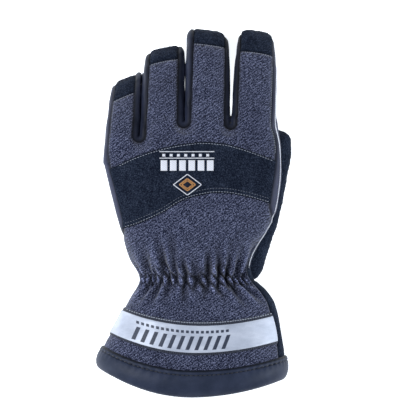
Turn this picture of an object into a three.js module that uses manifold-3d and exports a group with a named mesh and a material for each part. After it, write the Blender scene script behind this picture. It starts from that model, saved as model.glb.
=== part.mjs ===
// A left firefighter's gauntlet glove, lying palm down with its fingers towards +Y, its
// thumb on +X under the edge of the palm and the back of the hand facing +Z. Millimetres.
// The hollow form of hand, cuff and fingers is lofted once, at any offset from its outer
// skin. Each panel of the glove is the wall between two offsets, cut to the panel's outline.
import * as THREE from "three";
import { mergeVertices } from "three/addons/utils/BufferGeometryUtils.js";
import Module from "manifold-3d";

const wasm = await Module();
wasm.setup();

// Sizes of the glove. Lengths run along Y from the gathered line at the wrist.
const cuffLength = 96;
const cuffWidth = 156;
const cuffHeight = 82;
const hemRise = 23; // the hem's left end stands this much nearer to the fingers than its middle
const handLength = 132.6; // to the webs between the fingers
const handWidth = 147;
const handHeight = 75.5; // of the back of the hand above the floor
const webLag = 16; // the little finger's web sits this much nearer to the wrist
const wall = 3; // shell and liner together
const gap = 0.3; // between neighbouring pieces

// Fingers.
const fingerLength = { little: 72, ring: 96, middle: 111, index: 110 };
const fingerWidth = { little: 31, ring: 33.4, middle: 36.6, index: 36.4 };
const fingerDepth = 30;
const fingerRoot = 0.73; // share of handLength where the finger tubes start
const fingerGap = 1; // between two fingers that touch
const frontRoot = 0.33; // share of a finger's length where its leather front meets the palm
const hiddenSeam = 0.59; // share of handLength where the cloth is joined under the band
const thumbLength = 124;
const thumbWidth = 35;
const thumbDepth = 28;

// Trims.
const bandThickness = 1.6;
const bindingThickness = 1.8;
const bindingHeight = 22;
const bindingTurnIn = 12; // height of the binding inside the cuff
const backingThickness = 1;
const backingFromHem = 33; // lower edge of the backing strip above the hem
const backingHeight = 29;
const stripThickness = 0.8;
const stripHeight = 22;
const seamRadius = 5.4; // half the width of the leather that shows between two fingers
const cuffTip = 0.25; // slope of the seam across the cuff

// Gathers of the elastic wrist.
const gatherCount = 22;
const gatherDepth = 1.3;
const gatherReach = 9;
const foldDepth = 2;
const foldWidth = 3.4;
const gatherBulk = 20; // reach of the extra thickness that the gathers take up inside

// Sections of the cuff: down is a share of cuffLength, left and right of half the cuff's
// width, low and high of cuffHeight, riseLeft and riseRight of hemRise.
const cuffRows = [
  { down: 1.0, left: -1.0, right: 0.925, low: -0.03, high: 0.975, riseLeft: 1.0, riseRight: 0.6 },
  { down: 0.92, left: -1.018, right: 0.96, low: -0.03, high: 1.0, riseLeft: 0.97, riseRight: 0.58 },
  { down: 0.73, left: -0.945, right: 0.95, low: -0.03, high: 0.965, riseLeft: 0.82, riseRight: 0.48 },
  { down: 0.54, left: -0.84, right: 0.918, low: -0.02, high: 0.915, riseLeft: 0.62, riseRight: 0.46 },
  { down: 0.375, left: -0.75, right: 0.878, low: 0.0, high: 0.878, riseLeft: 0.53, riseRight: 0.4 },
  { down: 0.23, left: -0.685, right: 0.843, low: 0.05, high: 0.84, riseLeft: 0.32, riseRight: 0.24 },
  { down: 0.115, left: -0.62, right: 0.765, low: 0.095, high: 0.81, riseLeft: 0.15, riseRight: 0.12 },
  { down: 0.042, left: -0.584, right: 0.69, low: 0.12, high: 0.793, riseLeft: 0.05, riseRight: 0.04 },
];

// Sections of the hand: up is a share of handLength, left and right of half the hand's
// width, low and high of handHeight, lag of webLag.
const handRows = [
  { up: 0.0, left: -0.61, right: 0.675, low: 0.14, high: 0.86, lag: 0 },
  { up: 0.04, left: -0.62, right: 0.628, low: 0.147, high: 0.877, lag: 0 },
  { up: 0.113, left: -0.715, right: 0.635, low: 0.172, high: 0.927, lag: 0 },
  { up: 0.196, left: -0.775, right: 0.7, low: 0.225, high: 0.967, lag: 0 },
  { up: 0.3, left: -0.826, right: 0.816, low: 0.278, high: 0.993, lag: 0 },
  { up: 0.415, left: -0.882, right: 0.914, low: 0.318, high: 1.0, lag: 0 },
  { up: 0.528, left: -0.936, right: 0.95, low: 0.331, high: 0.987, lag: 0 },
  { up: 0.641, left: -0.986, right: 0.973, low: 0.344, high: 0.967, lag: 0 },
  { up: 0.739, left: -1.02, right: 0.977, low: 0.358, high: 0.94, lag: 0.1 },
  { up: 0.815, left: -1.02, right: 0.971, low: 0.371, high: 0.907, lag: 0.35 },
  { up: 0.89, left: -1.01, right: 0.955, low: 0.39, high: 0.868, lag: 0.65 },
  { up: 0.95, left: -1.0, right: 0.938, low: 0.405, high: 0.84, lag: 0.85 },
  { up: 1.0, left: -0.975, right: 0.915, low: 0.425, high: 0.812, lag: 1.0 },
];

// Main folds that run on from the gathers: across is a share of the half width, up and down
// the reach as shares of handLength and cuffLength, deep a share of foldDepth.
const foldRows = [
  { across: -0.83, up: 0.1, down: 0.26, deep: 0.8 },
  { across: -0.65, up: 0.3, down: 0.18, deep: 1.0 },
  { across: -0.43, up: 0.26, down: 0.1, deep: 1.0 },
  { across: -0.22, up: 0.14, down: 0.18, deep: 0.8 },
  { across: -0.02, up: 0.1, down: 0.1, deep: 0.6 },
  { across: 0.17, up: 0.24, down: 0.1, deep: 1.0 },
  { across: 0.34, up: 0.12, down: 0.27, deep: 0.9 },
  { across: 0.52, up: 0.22, down: 0.2, deep: 1.0 },
  { across: 0.72, up: 0.2, down: 0.25, deep: 0.9 },
];

// Fingers: root and tip are shares of half the hand's width, slant is the slope of the
// fingertip's end, capBack the length of its leather cap as a share of fingerLength.
const fingers = [
  { name: "little", root: -0.83, tip: -0.735, slant: 0.4, capBack: 0.22 },
  { name: "ring", root: -0.365, tip: -0.34, slant: 0.19, capBack: 0.13 },
  { name: "middle", root: 0.14, tip: 0.15, slant: -0.13, capBack: 0.12 },
  { name: "index", root: 0.655, tip: 0.702, slant: -0.155, capBack: 0.18 },
];

// Sections of a finger: along is a share of its length, wide and deep of its half sizes.
const fingerRows = [
  { along: 0.0, wide: 0.88, deep: 0.86 },
  { along: 0.3, wide: 1.0, deep: 1.0 },
  { along: 0.5, wide: 1.0, deep: 1.0 },
  { along: 0.7, wide: 0.97, deep: 0.96 },
  { along: 0.84, wide: 0.93, deep: 0.88 },
  { along: 0.93, wide: 0.85, deep: 0.74 },
  { along: 1.0, wide: 0.66, deep: 0.42 },
];
const droopStart = 0.28; // share of a finger's length that stays level with the hand
const droopPower = 1.3;

// The slots between the fingers: x is a share of half the hand's width, y of handLength,
// wide of seamRadius and apart of fingerGap, at the web and at the far end.
const slots = [
  { name: "ring_little", x: -0.623, y: 0.897, wide: 0.98, farX: -0.575, farWide: 1.04, farApart: 1 },
  { name: "middle_ring", x: -0.12, y: 0.99, wide: 1.02, farX: -0.09, farWide: 1.2, farApart: 1 },
  { name: "index_middle", x: 0.405, y: 0.975, wide: 0.85, farX: 0.438, farWide: 1.15, farApart: 6 },
];
const slotLength = 92;
const scoopLength = 12;

// Half width of the valley at a web by height: at is a share of half the fingers' depth above
// and below their middle, wide a share of seamRadius.
const scoopRows = [
  { at: 0.4, wide: 0.1 },
  { at: 0.7, wide: 0.5 },
  { at: 0.94, wide: 1.45 },
  { at: 1.3, wide: 2.3 },
];

// Leather side strips: inset of the seam from the outline as shares of seamRadius, at
// shares of handLength. Past the fingers' roots the strip keeps its width.
const sideRows = [
  { up: 0.2, left: -2.0, right: -2.0 },
  { up: 0.24, left: -0.3, right: -1.5 },
  { up: 0.36, left: 0.8, right: -0.2 },
  { up: 0.47, left: 1.0, right: 1.35 },
  { up: 0.66, left: 0.85, right: 1.2 },
  { up: 0.81, left: 0.55, right: 0.7 },
  { up: 1.0, left: 0.55, right: 0.7 },
  { up: 1.27, left: 0.6, right: 0.65 },
  { up: 1.45, left: 0.75, right: 0.65 },
  { up: 1.7, left: 0.9, right: 0.75 },
];

// Knuckle band: across is a share of half the hand's width, top and bottom of handLength.
const bandRows = [
  { across: -1.1, top: 0.65, bottom: 0.29 },
  { across: -0.94, top: 0.694, bottom: 0.302 },
  { across: -0.8, top: 0.731, bottom: 0.322 },
  { across: -0.68, top: 0.763, bottom: 0.34 },
  { across: -0.52, top: 0.795, bottom: 0.376 },
  { across: -0.35, top: 0.823, bottom: 0.42 },
  { across: -0.19, top: 0.841, bottom: 0.481 },
  { across: -0.05, top: 0.852, bottom: 0.514 },
  { across: 0.07, top: 0.86, bottom: 0.529 },
  { across: 0.2, top: 0.857, bottom: 0.542 },
  { across: 0.38, top: 0.845, bottom: 0.54 },
  { across: 0.6, top: 0.809, bottom: 0.517 },
  { across: 0.83, top: 0.762, bottom: 0.479 },
  { across: 1.1, top: 0.7, bottom: 0.43 },
];

// Thumb: along is a share of thumbLength, x a share of half the hand's width, lift of
// handHeight, wide and deep of the thumb's half sizes.
const thumbRows = [
  { along: 0.0, x: 0.5, lift: 0.32, wide: 0.8, deep: 0.55 },
  { along: 0.06, x: 0.51, lift: 0.32, wide: 1.08, deep: 0.88 },
  { along: 0.18, x: 0.54, lift: 0.325, wide: 1.19, deep: 1.07 },
  { along: 0.33, x: 0.64, lift: 0.275, wide: 1.12, deep: 1.08 },
  { along: 0.46, x: 0.72, lift: 0.225, wide: 1.06, deep: 1.04 },
  { along: 0.57, x: 0.77, lift: 0.19, wide: 1.0, deep: 1.02 },
  { along: 0.7, x: 0.82, lift: 0.178, wide: 0.97, deep: 1.0 },
  { along: 0.83, x: 0.862, lift: 0.175, wide: 0.96, deep: 0.97 },
  { along: 0.92, x: 0.885, lift: 0.175, wide: 0.88, deep: 0.9 },
  { along: 0.97, x: 0.905, lift: 0.178, wide: 0.72, deep: 0.74 },
  { along: 1.0, x: 0.92, lift: 0.18, wide: 0.5, deep: 0.42 },
];

// Roundness of the sections: 2 is an ellipse, more is boxier.
const bodyBack = 2.3;
const bodyPalm = 2.9;
const fingerRound = 2.6;
const thumbRound = 2.3;

// Columns round a section: over the back and under the palm.
const plainColumns = { back: 18, palm: 12 };
const foldColumns = { back: 36, palm: 12 };
const gatherColumns = { back: 3 * gatherCount, palm: 12 };
const fingerColumns = { back: 8, palm: 7 };
const innerColumns = { back: 12, palm: 8 };
const innerFingerColumns = { back: 6, palm: 5 };

const halfHand = handWidth / 2;
const halfCuff = cuffWidth / 2;
const far = 3 * (cuffLength + handLength); // beyond everything, for cutters
const overrun = 26; // the form runs this far past the hem before it is cut

const smooth = (a, b, v) => THREE.MathUtils.smoothstep(v, a, b);
const signedPower = (v, p) => Math.sign(v) * Math.abs(v) ** p;

// Value of a column of a table at a place along it, between the rows.
function between(rows, key, column, at) {
  if (at <= rows[0][key]) return rows[0][column];
  for (let i = 1; i < rows.length; i++) {
    if (at > rows[i][key]) continue;
    const share = (at - rows[i - 1][key]) / (rows[i][key] - rows[i - 1][key]);
    return THREE.MathUtils.lerp(rows[i - 1][column], rows[i][column], share);
  }
  return rows[rows.length - 1][column];
}

// Sections of hand and cuff in millimetres, from the hem to the webs.
const sections = [
  ...cuffRows.map((r) => ({
    y: -r.down * cuffLength,
    left: r.left * halfCuff,
    right: r.right * halfCuff,
    low: r.low * cuffHeight,
    high: r.high * cuffHeight,
    riseLeft: r.riseLeft * hemRise,
    riseRight: r.riseRight * hemRise,
    lag: 0,
  })),
  ...handRows.map((r) => ({
    y: r.up * handLength,
    left: r.left * halfHand,
    right: r.right * halfHand,
    low: r.low * handHeight,
    high: r.high * handHeight,
    riseLeft: 0,
    riseRight: 0,
    lag: r.lag * webLag,
  })),
];
const sectionAt = (column, y) => between(sections, "y", column, y);
const middleAt = (y) => (sectionAt("low", y) + sectionAt("high", y)) / 2;

// A closed BufferGeometry's solid, with its faces turned outwards.
function solidOf(geometry) {
  geometry.deleteAttribute("normal");
  geometry.deleteAttribute("uv");
  const merged = mergeVertices(geometry, 1e-4);
  const points = merged.attributes.position.array;
  const triangles = new Uint32Array(merged.index.array);
  const corner = (i) => new THREE.Vector3().fromArray(points, 3 * triangles[i]);
  let volume = 0;
  for (let i = 0; i < triangles.length; i += 3)
    volume += corner(i).dot(corner(i + 1).cross(corner(i + 2)));
  if (volume < 0)
    for (let i = 0; i < triangles.length; i += 3)
      [triangles[i + 1], triangles[i + 2]] = [triangles[i + 2], triangles[i + 1]];
  return new wasm.Manifold(
    new wasm.Mesh({ numProp: 3, vertProperties: points, triVerts: triangles }),
  );
}

function indexed(points, triangles) {
  const geometry = new THREE.BufferGeometry().setFromPoints(points);
  geometry.setIndex(triangles);
  return geometry;
}

// Solid through closed rings of { points, at }, where at is each point's share of the way
// round. Rings may have different numbers of points.
function loft(rings) {
  const points = rings.flatMap((r) => r.points);
  const triangles = [];
  let start = 0;
  for (let r = 0; r + 1 < rings.length; r++) {
    const [a, b] = [rings[r].at, rings[r + 1].at];
    const next = start + a.length;
    let i = 0;
    let j = 0;
    while (i < a.length || j < b.length) {
      const stepA = i + 1 < a.length ? a[i + 1] : 1;
      const stepB = j + 1 < b.length ? b[j + 1] : 1;
      const here = start + (i % a.length);
      const there = next + (j % b.length);
      if (j >= b.length || (i < a.length && stepA <= stepB)) {
        triangles.push(here, there, start + ((i + 1) % a.length));
        i++;
      } else {
        triangles.push(here, there, next + ((j + 1) % b.length));
        j++;
      }
    }
    start = next;
  }
  const close = (first, count, flip) => {
    const middle = new THREE.Vector3();
    for (let i = 0; i < count; i++) middle.add(points[first + i]);
    points.push(middle.divideScalar(count));
    for (let i = 0; i < count; i++) {
      const edge = [first + i, first + ((i + 1) % count)];
      if (flip) edge.reverse();
      triangles.push(edge[0], edge[1], points.length - 1);
    }
  };
  close(0, rings[0].points.length, false);
  close(start, rings[rings.length - 1].points.length, true);
  return solidOf(indexed(points, triangles));
}

// Angles round a section, first over the back from right to left, then under the palm.
function wayRound({ back, palm }) {
  const steps = [];
  for (let i = 0; i < back; i++) steps.push((0.5 * i) / back);
  for (let i = 0; i < palm; i++) steps.push(0.5 + (0.5 * i) / palm);
  return steps;
}

// Vertical prism over an outline of [x, y] corners.
function prism(outline) {
  const shape = new THREE.Shape(outline.map(([x, y]) => new THREE.Vector2(x, y)));
  const geometry = new THREE.ExtrudeGeometry(shape, { depth: 2 * far, bevelEnabled: false });
  return solidOf(geometry.translate(0, 0, -far));
}

// Outline round a slot that widens from its web to its open end.
function stadium(slot, length, webRadius, farRadius) {
  const arcSteps = 5;
  const [x0, y0] = [slot.x * halfHand, slot.y * handLength];
  const lean = ((slot.farX - slot.x) * halfHand) / slotLength;
  const outline = [[x0 + lean * length + farRadius, y0 + length]];
  outline.push([x0 + lean * length - farRadius, y0 + length]);
  for (let i = 0; i <= arcSteps; i++) {
    const turn = Math.PI * (1 + i / arcSteps);
    outline.push([x0 + webRadius * Math.cos(turn), y0 + webRadius * Math.sin(turn)]);
  }
  return outline;
}

const rootY = fingerRoot * handLength;
const fingerShare = (f, y) => (y - rootY) / fingerLength[f.name];

// Height of a finger's middle line, which sinks from the hand to the floor.
function fingerMiddle(f, y) {
  const level = middleAt(handLength);
  const rest = 0.4 * fingerDepth;
  const share = Math.max(0, (fingerShare(f, y) - droopStart) / (1 - droopStart));
  return level - (level - rest) * Math.min(1, share) ** droopPower;
}

// Sink of the back of the wrist at an angle round the section and a place along it.
function gatherSink(turn, across, halfWidth, y) {
  const edge = smooth(0.02, 0.07, turn) * (1 - smooth(0.43, 0.48, turn));
  const ripple = 0.5 - 0.5 * Math.cos(4 * Math.PI * gatherCount * turn);
  let sink = gatherDepth * ripple * Math.exp(-((y / gatherReach) ** 2));
  for (const fold of foldRows) {
    const reach = y > 0 ? fold.up * handLength : fold.down * cuffLength;
    const aside = ((across - fold.across) * halfWidth) / foldWidth;
    sink += fold.deep * foldDepth * Math.exp(-((y / reach) ** 2) - aside ** 2);
  }
  return sink * edge;
}

// One section of hand and cuff, at an offset from the outer skin.
function bodyRing(s, offset, columns, gathered) {
  const centre = (s.left + s.right) / 2;
  const halfWidth = (s.right - s.left) / 2 + offset;
  const middle = (s.low + s.high) / 2;
  const halfHeight = (s.high - s.low) / 2 + offset;
  const at = wayRound(columns);
  const points = at.map((turn) => {
    const round = 2 / (turn < 0.5 ? bodyBack : bodyPalm);
    const angle = 2 * Math.PI * turn;
    const across = signedPower(Math.cos(angle), round);
    const up = signedPower(Math.sin(angle), round);
    const sink = gathered && turn < 0.5 ? gatherSink(turn, across, halfWidth, s.y) : 0;
    const outwards = new THREE.Vector2(across / halfWidth, up / halfHeight).normalize();
    const lag = s.lag * smooth(0.3, 0.85, -across);
    return new THREE.Vector3(
      centre + halfWidth * across - sink * outwards.x,
      s.y + (across < 0 ? s.riseLeft : s.riseRight) * across ** 2 - lag,
      Math.max(middle + halfHeight * up - sink * outwards.y, bindingThickness - offset),
    );
  });
  return { points, at };
}

// Every row for an outer skin, every other row for the smoother inner one.
const keptRows = (rows, inner) => rows.filter((_, i) => !inner || i % 2 === 0);

function bodyForm(offset) {
  const inner = offset < 0;
  const hem = { ...sections[0], y: sections[0].y - overrun };
  const rings = [hem, ...keptRows(sections, inner)].map((s) => {
    const spread = Math.exp(-((s.y / gatherBulk) ** 2));
    const bulk = inner ? (gatherDepth + foldDepth) * spread : 0;
    const near = Math.abs(s.y) < 1.8 * gatherReach;
    const folded = s.y > -0.35 * cuffLength && s.y < 0.35 * handLength;
    const outerColumns = near ? gatherColumns : folded ? foldColumns : plainColumns;
    const end = s.y === handLength ? offset : 0;
    return bodyRing(
      { ...s, y: s.y + end },
      offset - bulk,
      inner ? innerColumns : outerColumns,
      !inner,
    );
  });
  return loft(rings);
}

function fingerForm(f, offset) {
  const at = wayRound(offset < 0 ? innerFingerColumns : fingerColumns);
  const rings = keptRows(fingerRows, offset < 0).map((row) => {
    const y = rootY + row.along * fingerLength[f.name];
    const end = row.along === 1 ? offset : 0;
    const centre = THREE.MathUtils.lerp(f.root, f.tip, row.along) * halfHand;
    const halfWidth = (row.wide * fingerWidth[f.name]) / 2 + offset;
    const halfDepth = (row.deep * fingerDepth) / 2 + offset;
    const points = at.map((turn) => {
      const angle = 2 * Math.PI * turn;
      const across = halfWidth * signedPower(Math.cos(angle), 2 / fingerRound);
      const up = halfDepth * signedPower(Math.sin(angle), 2 / fingerRound);
      return new THREE.Vector3(
        centre + across,
        y + end + f.slant * across * row.along ** 3,
        Math.max(fingerMiddle(f, y) + up, -offset),
      );
    });
    return { points, at };
  });
  return loft(rings);
}

function thumbForm(offset) {
  const at = wayRound(offset < 0 ? innerFingerColumns : fingerColumns);
  const rings = keptRows(thumbRows, offset < 0).map((row) => {
    const end = row.along === 0 ? -offset : row.along === 1 ? offset : 0;
    const halfWidth = (row.wide * thumbWidth) / 2 + offset;
    const halfDepth = (row.deep * thumbDepth) / 2 + offset;
    const points = at.map((turn) => {
      const angle = 2 * Math.PI * turn;
      const across = halfWidth * signedPower(Math.cos(angle), 2 / thumbRound);
      const up = halfDepth * signedPower(Math.sin(angle), 2 / thumbRound);
      return new THREE.Vector3(
        row.x * halfHand + across,
        row.along * thumbLength + end,
        Math.max(row.lift * handHeight + up, -offset),
      );
    });
    return { points, at };
  });
  return loft(rings);
}

// The valley between two fingers: a slit along the fingers, scooped wide at the web.
function valley(slot, [fingerA, fingerB], offset) {
  const halfSlit = (apart) => Math.max((apart * fingerGap) / 2 - offset, gap / 4);
  const slit = halfSlit(1);
  const farSlit = halfSlit(slot.farApart);
  const scoopY = slot.y * handLength + scoopLength;
  const middle = (y) => (fingerMiddle(fingerA, y) + fingerMiddle(fingerB, y)) / 2;
  const levels = [
    ...scoopRows.map((r) => ({ up: -r.at, wide: r.wide })).reverse(),
    ...scoopRows.map((r) => ({ up: r.at, wide: r.wide })),
  ];
  const rings = levels.map((level) => {
    const radius = slit + level.wide * seamRadius;
    const outline = stadium(slot, scoopLength, radius, radius);
    const points = outline.map(([x, y]) => {
      const height = middle(Math.min(y, scoopY)) + (level.up * fingerDepth) / 2;
      return new THREE.Vector3(x, y, height);
    });
    return { points, at: outline.map((_, i) => i / outline.length) };
  });
  return loft(rings).add(prism(stadium(slot, slotLength, slit, farSlit)));
}

// Hand, cuff and fingers as one solid, at an offset from the outer skin.
function gloveForm(offset) {
  let form = bodyForm(offset);
  for (const f of fingers) form = form.add(fingerForm(f, offset));
  slots.forEach((slot, i) => {
    form = form.subtract(valley(slot, [fingers[i], fingers[i + 1]], offset));
  });
  return form;
}

// Outline of the glove's back between its two side seams, with the slots left in.
function backOutline(inset) {
  const steps = 26;
  const lowest = -cuffLength - 2 * overrun;
  const highest = handLength + slotLength;
  const rows = Array.from({ length: steps + 1 }, (_, i) => {
    const first = sideRows[0].up * handLength;
    const y = i === 0 ? lowest : THREE.MathUtils.lerp(first, highest, (i - 1) / (steps - 1));
    const inside = y > first;
    const edge = sideEdges(y);
    const wide = 3 * seamRadius;
    const left = between(sideRows, "up", "left", y / handLength) * seamRadius;
    const right = between(sideRows, "up", "right", y / handLength) * seamRadius;
    return {
      y,
      left: edge.left + (inside ? left : -wide) + inset,
      right: edge.right - (inside ? right : -wide) - inset,
    };
  });
  return [
    ...rows.map((r) => [r.right, r.y]),
    ...rows.reverse().map((r) => [r.left, r.y]),
  ];
}

// The glove's left and right outline, of the hand and then of the outer fingers.
function sideEdges(y) {
  if (y <= 0.93 * handLength)
    return { left: sectionAt("left", y), right: sectionAt("right", y) };
  const edge = (f, side) => {
    const share = Math.min(1, fingerShare(f, y));
    const centre = THREE.MathUtils.lerp(f.root, f.tip, share) * halfHand;
    const wide = between(fingerRows, "along", "wide", Math.min(share, 0.84));
    return centre + (side * wide * fingerWidth[f.name]) / 2;
  };
  return { left: edge(fingers[0], -1), right: edge(fingers[fingers.length - 1], 1) };
}

// Prism over the back, or the palm, inside the side seams and outside the slots.
function panelPrism(inset) {
  let panel = prism(backOutline(inset));
  for (const slot of slots) {
    const web = slot.wide * seamRadius + inset;
    const end = slot.farWide * seamRadius + inset;
    panel = panel.subtract(prism(stadium(slot, slotLength, web, end)));
  }
  return panel;
}

// Height of the seam between back and palm. It tips over the cuff, where the palm's
// leather wraps round the thumb side.
function seamHeight(x, y) {
  const tip = cuffTip * (1 - smooth(0.05 * handLength, 0.3 * handLength, y));
  const finger = fingers.find((f, i) => i === slots.length || x < slotMiddle(slots[i]));
  return y > rootY ? fingerMiddle(finger, y) : middleAt(y) + tip * x;
}

const slotMiddle = (slot) => ((slot.x + slot.farX) / 2) * halfHand;

// Everything above the seam, or below it, shifted to leave a gap.
function halfSpace(side) {
  const step = 16;
  const xs = [-far, ...slots.flatMap((s) => [slotMiddle(s) - 1, slotMiddle(s) + 1]), far];
  for (let i = -2; i <= 2; i++) xs.push(i * halfCuff * 0.6);
  xs.sort((a, b) => a - b);
  const ys = [-far, ...sections.map((s) => s.y).filter((y) => y < rootY)];
  for (let y = rootY; y < handLength + slotLength; y += step) ys.push(y);
  ys.push(far);
  const inReach = (y) => Math.min(Math.max(y, -cuffLength), handLength + slotLength);
  const reach = Math.max(cuffWidth, handWidth);
  const points = [];
  for (const level of [0, 1])
    for (const y of ys)
      for (const x of xs) {
        const seam = seamHeight(THREE.MathUtils.clamp(x, -reach, reach), inReach(y));
        points.push(new THREE.Vector3(x, y, level ? side * far : seam + (side * gap) / 2));
      }
  const triangles = [];
  const [nx, ny] = [xs.length, ys.length];
  const quad = (a, b, c, d) => triangles.push(a, b, c, a, c, d);
  const id = (level, j, i) => level * nx * ny + j * nx + i;
  for (let j = 0; j + 1 < ny; j++)
    for (let i = 0; i + 1 < nx; i++) {
      quad(id(0, j, i), id(0, j + 1, i), id(0, j + 1, i + 1), id(0, j, i + 1));
      quad(id(1, j, i), id(1, j, i + 1), id(1, j + 1, i + 1), id(1, j + 1, i));
    }
  for (let i = 0; i + 1 < nx; i++) {
    quad(id(0, 0, i), id(0, 0, i + 1), id(1, 0, i + 1), id(1, 0, i));
    quad(id(0, ny - 1, i + 1), id(0, ny - 1, i), id(1, ny - 1, i), id(1, ny - 1, i + 1));
  }
  for (let j = 0; j + 1 < ny; j++) {
    quad(id(0, j + 1, 0), id(0, j, 0), id(1, j, 0), id(1, j + 1, 0));
    quad(id(0, j, nx - 1), id(0, j + 1, nx - 1), id(1, j + 1, nx - 1), id(1, j, nx - 1));
  }
  return solidOf(indexed(points, triangles));
}

// Prism between two lines across the cuff that curve like its hem. from and to are
// distances above the hem's middle.
function cuffPrism(from, to) {
  const steps = 24;
  const line = (above) => {
    const y = above - cuffLength;
    const centre = (sectionAt("left", y) + sectionAt("right", y)) / 2;
    const halfWidth = (sectionAt("right", y) - sectionAt("left", y)) / 2;
    return Array.from({ length: steps + 1 }, (_, i) => {
      const across = THREE.MathUtils.lerp(-1.3, 1.3, i / steps);
      const rise = sectionAt(across < 0 ? "riseLeft" : "riseRight", y);
      return [centre + across * halfWidth, y + rise * across ** 2];
    });
  };
  return prism([...line(from), ...line(to).reverse()]);
}

function bandPrism() {
  const top = bandRows.map((r) => [r.across * halfHand, r.top * handLength]);
  const bottom = bandRows.map((r) => [r.across * halfHand, r.bottom * handLength]);
  return prism([...bottom, ...top.reverse()]);
}

// Everything on the fingertip side of a seam across one finger, at a share of its length.
function fingerEnd(f, share, slant, shift) {
  const i = fingers.indexOf(f);
  const left = i === 0 ? -far : slotMiddle(slots[i - 1]);
  const right = i === slots.length ? far : slotMiddle(slots[i]);
  const centre = THREE.MathUtils.lerp(f.root, f.tip, share) * halfHand;
  const y = rootY + share * fingerLength[f.name] + shift;
  const reach = fingerWidth[f.name];
  const [a, b] = [Math.max(left, centre - reach), Math.min(right, centre + reach)];
  return prism([
    [a, y + slant * (a - centre)],
    [b, y + slant * (b - centre)],
    [b, far],
    [a, far],
  ]);
}
const capPrism = (f, shift) => fingerEnd(f, 1 - f.capBack, f.slant, shift);
const frontPrism = (f, shift) => fingerEnd(f, frontRoot, 0, shift);

// Everything between two lines across the glove.
const acrossBlock = (from, to) =>
  prism([
    [-far, from],
    [far, from],
    [far, to],
    [-far, to],
  ]);

// Everything between two offsets from the outer skin.
const layer = (outer, inner) => gloveForm(outer).subtract(gloveForm(inner));
const largest = (solid) =>
  solid.decompose().reduce((a, b) => (b.volume() > a.volume() ? b : a));

// The wall, its halves and the outlines that cut it.
const shell = layer(0, -wall);
const above = halfSpace(1);
const below = halfSpace(-1);
const panels = panelPrism(gap / 2);
const overPanels = panelPrism(-gap / 2);
const hemCut = bindingThickness + gap;
const clothShell = shell.intersect(cuffPrism(hemCut, 3 * far));
const thumbHollow = thumbForm(-wall);

const backWhole = clothShell.intersect(panels).intersect(above);
const tipCaps = fingers.map((f) => backWhole.intersect(capPrism(f, gap / 2)));
const backCloth = fingers.reduce((s, f) => s.subtract(capPrism(f, -gap / 2)), backWhole);
const hiddenSeamY = hiddenSeam * handLength;
const backPanel = backCloth.intersect(acrossBlock(-far, hiddenSeamY - gap / 2));
const knucklePanel = backCloth.intersect(acrossBlock(hiddenSeamY + gap / 2, far));
const palmWhole = clothShell.intersect(panels).intersect(below).subtract(thumbHollow);
const fingerFronts = fingers.map((f) => palmWhole.intersect(frontPrism(f, gap / 2)));
const handAndCuff = fingers.reduce((s, f) => s.subtract(frontPrism(f, -gap / 2)), palmWhole);
const palmPanel = handAndCuff.intersect(acrossBlock(gap / 2, far));
const cuffPalm = handAndCuff.intersect(acrossBlock(-far, -gap / 2));
const sides = clothShell.subtract(overPanels);
const slotBlocks = slots.map((slot) => {
  const reach = 2 * seamRadius * Math.max(slot.wide, slot.farWide);
  return prism(stadium(slot, slotLength, reach, reach));
});
const fourchettes = slotBlocks.map((block) => sides.intersect(block));
const middleX = slotMiddle(slots[1]);
const sideBlock = (left, right) =>
  prism([
    [left, -far],
    [right, -far],
    [right, far],
    [left, far],
  ]);
const outerSides = [
  { name: "little", block: sideBlock(-far, middleX) },
  { name: "index", block: sideBlock(middleX, far) },
].map(({ name, block }) => ({
  name,
  solid: slotBlocks.reduce((s, slotBlock) => s.subtract(slotBlock), sides.intersect(block)),
}));
const thumbStall = thumbForm(0).subtract(thumbHollow).subtract(gloveForm(gap));

const knuckleBand = layer(gap + bandThickness, gap)
  .intersect(bandPrism())
  .intersect(panels)
  .intersect(above);
const backingPrism = cuffPrism(backingFromHem, backingFromHem + backingHeight);
const trimBacking = layer(gap + backingThickness, gap)
  .intersect(backingPrism)
  .intersect(above);
const stripInner = 2 * gap + backingThickness;
const stripFrom = backingFromHem + (backingHeight - stripHeight) / 2;
const reflectiveStrip = layer(stripInner + stripThickness, stripInner)
  .intersect(cuffPrism(stripFrom, stripFrom + stripHeight))
  .intersect(above);

// The binding wraps the hem: outside, round the edge and inside.
const bindingShell = layer(bindingThickness, -wall - bindingThickness);
const bindingRoom = layer(gap, -wall - gap).intersect(
  cuffPrism(hemCut - gap, 3 * far),
);
const insideRoom = gloveForm(-wall / 2).intersect(cuffPrism(bindingTurnIn, 3 * far));
const hemBinding = bindingShell
  .intersect(cuffPrism(0, bindingHeight))
  .subtract(bindingRoom)
  .subtract(insideRoom);

// Colours, roughness and metalness of the materials.
const cloth = new THREE.MeshStandardMaterial({ color: 0x4a4d5c, roughness: 0.95 });
const suede = new THREE.MeshStandardMaterial({ color: 0x14181f, roughness: 0.92 });
const smoothLeather = new THREE.MeshStandardMaterial({ color: 0x22242e, roughness: 0.55 });
const bindingLeather = new THREE.MeshStandardMaterial({ color: 0x2d3242, roughness: 0.6 });
const backingTape = new THREE.MeshStandardMaterial({ color: 0x2a2e3c, roughness: 0.8 });
const reflective = new THREE.MeshStandardMaterial({
  color: 0xc6d2e8,
  roughness: 0.35,
  metalness: 0.3,
});

const glove = new THREE.Group();

function place(name, solid, material) {
  const mesh = largest(solid).getMesh();
  const geometry = new THREE.BufferGeometry();
  geometry.setAttribute("position", new THREE.BufferAttribute(mesh.vertProperties, 3));
  geometry.setIndex(new THREE.BufferAttribute(mesh.triVerts, 1));
  const piece = new THREE.Mesh(geometry, material);
  piece.name = name;
  glove.add(piece);
}

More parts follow.
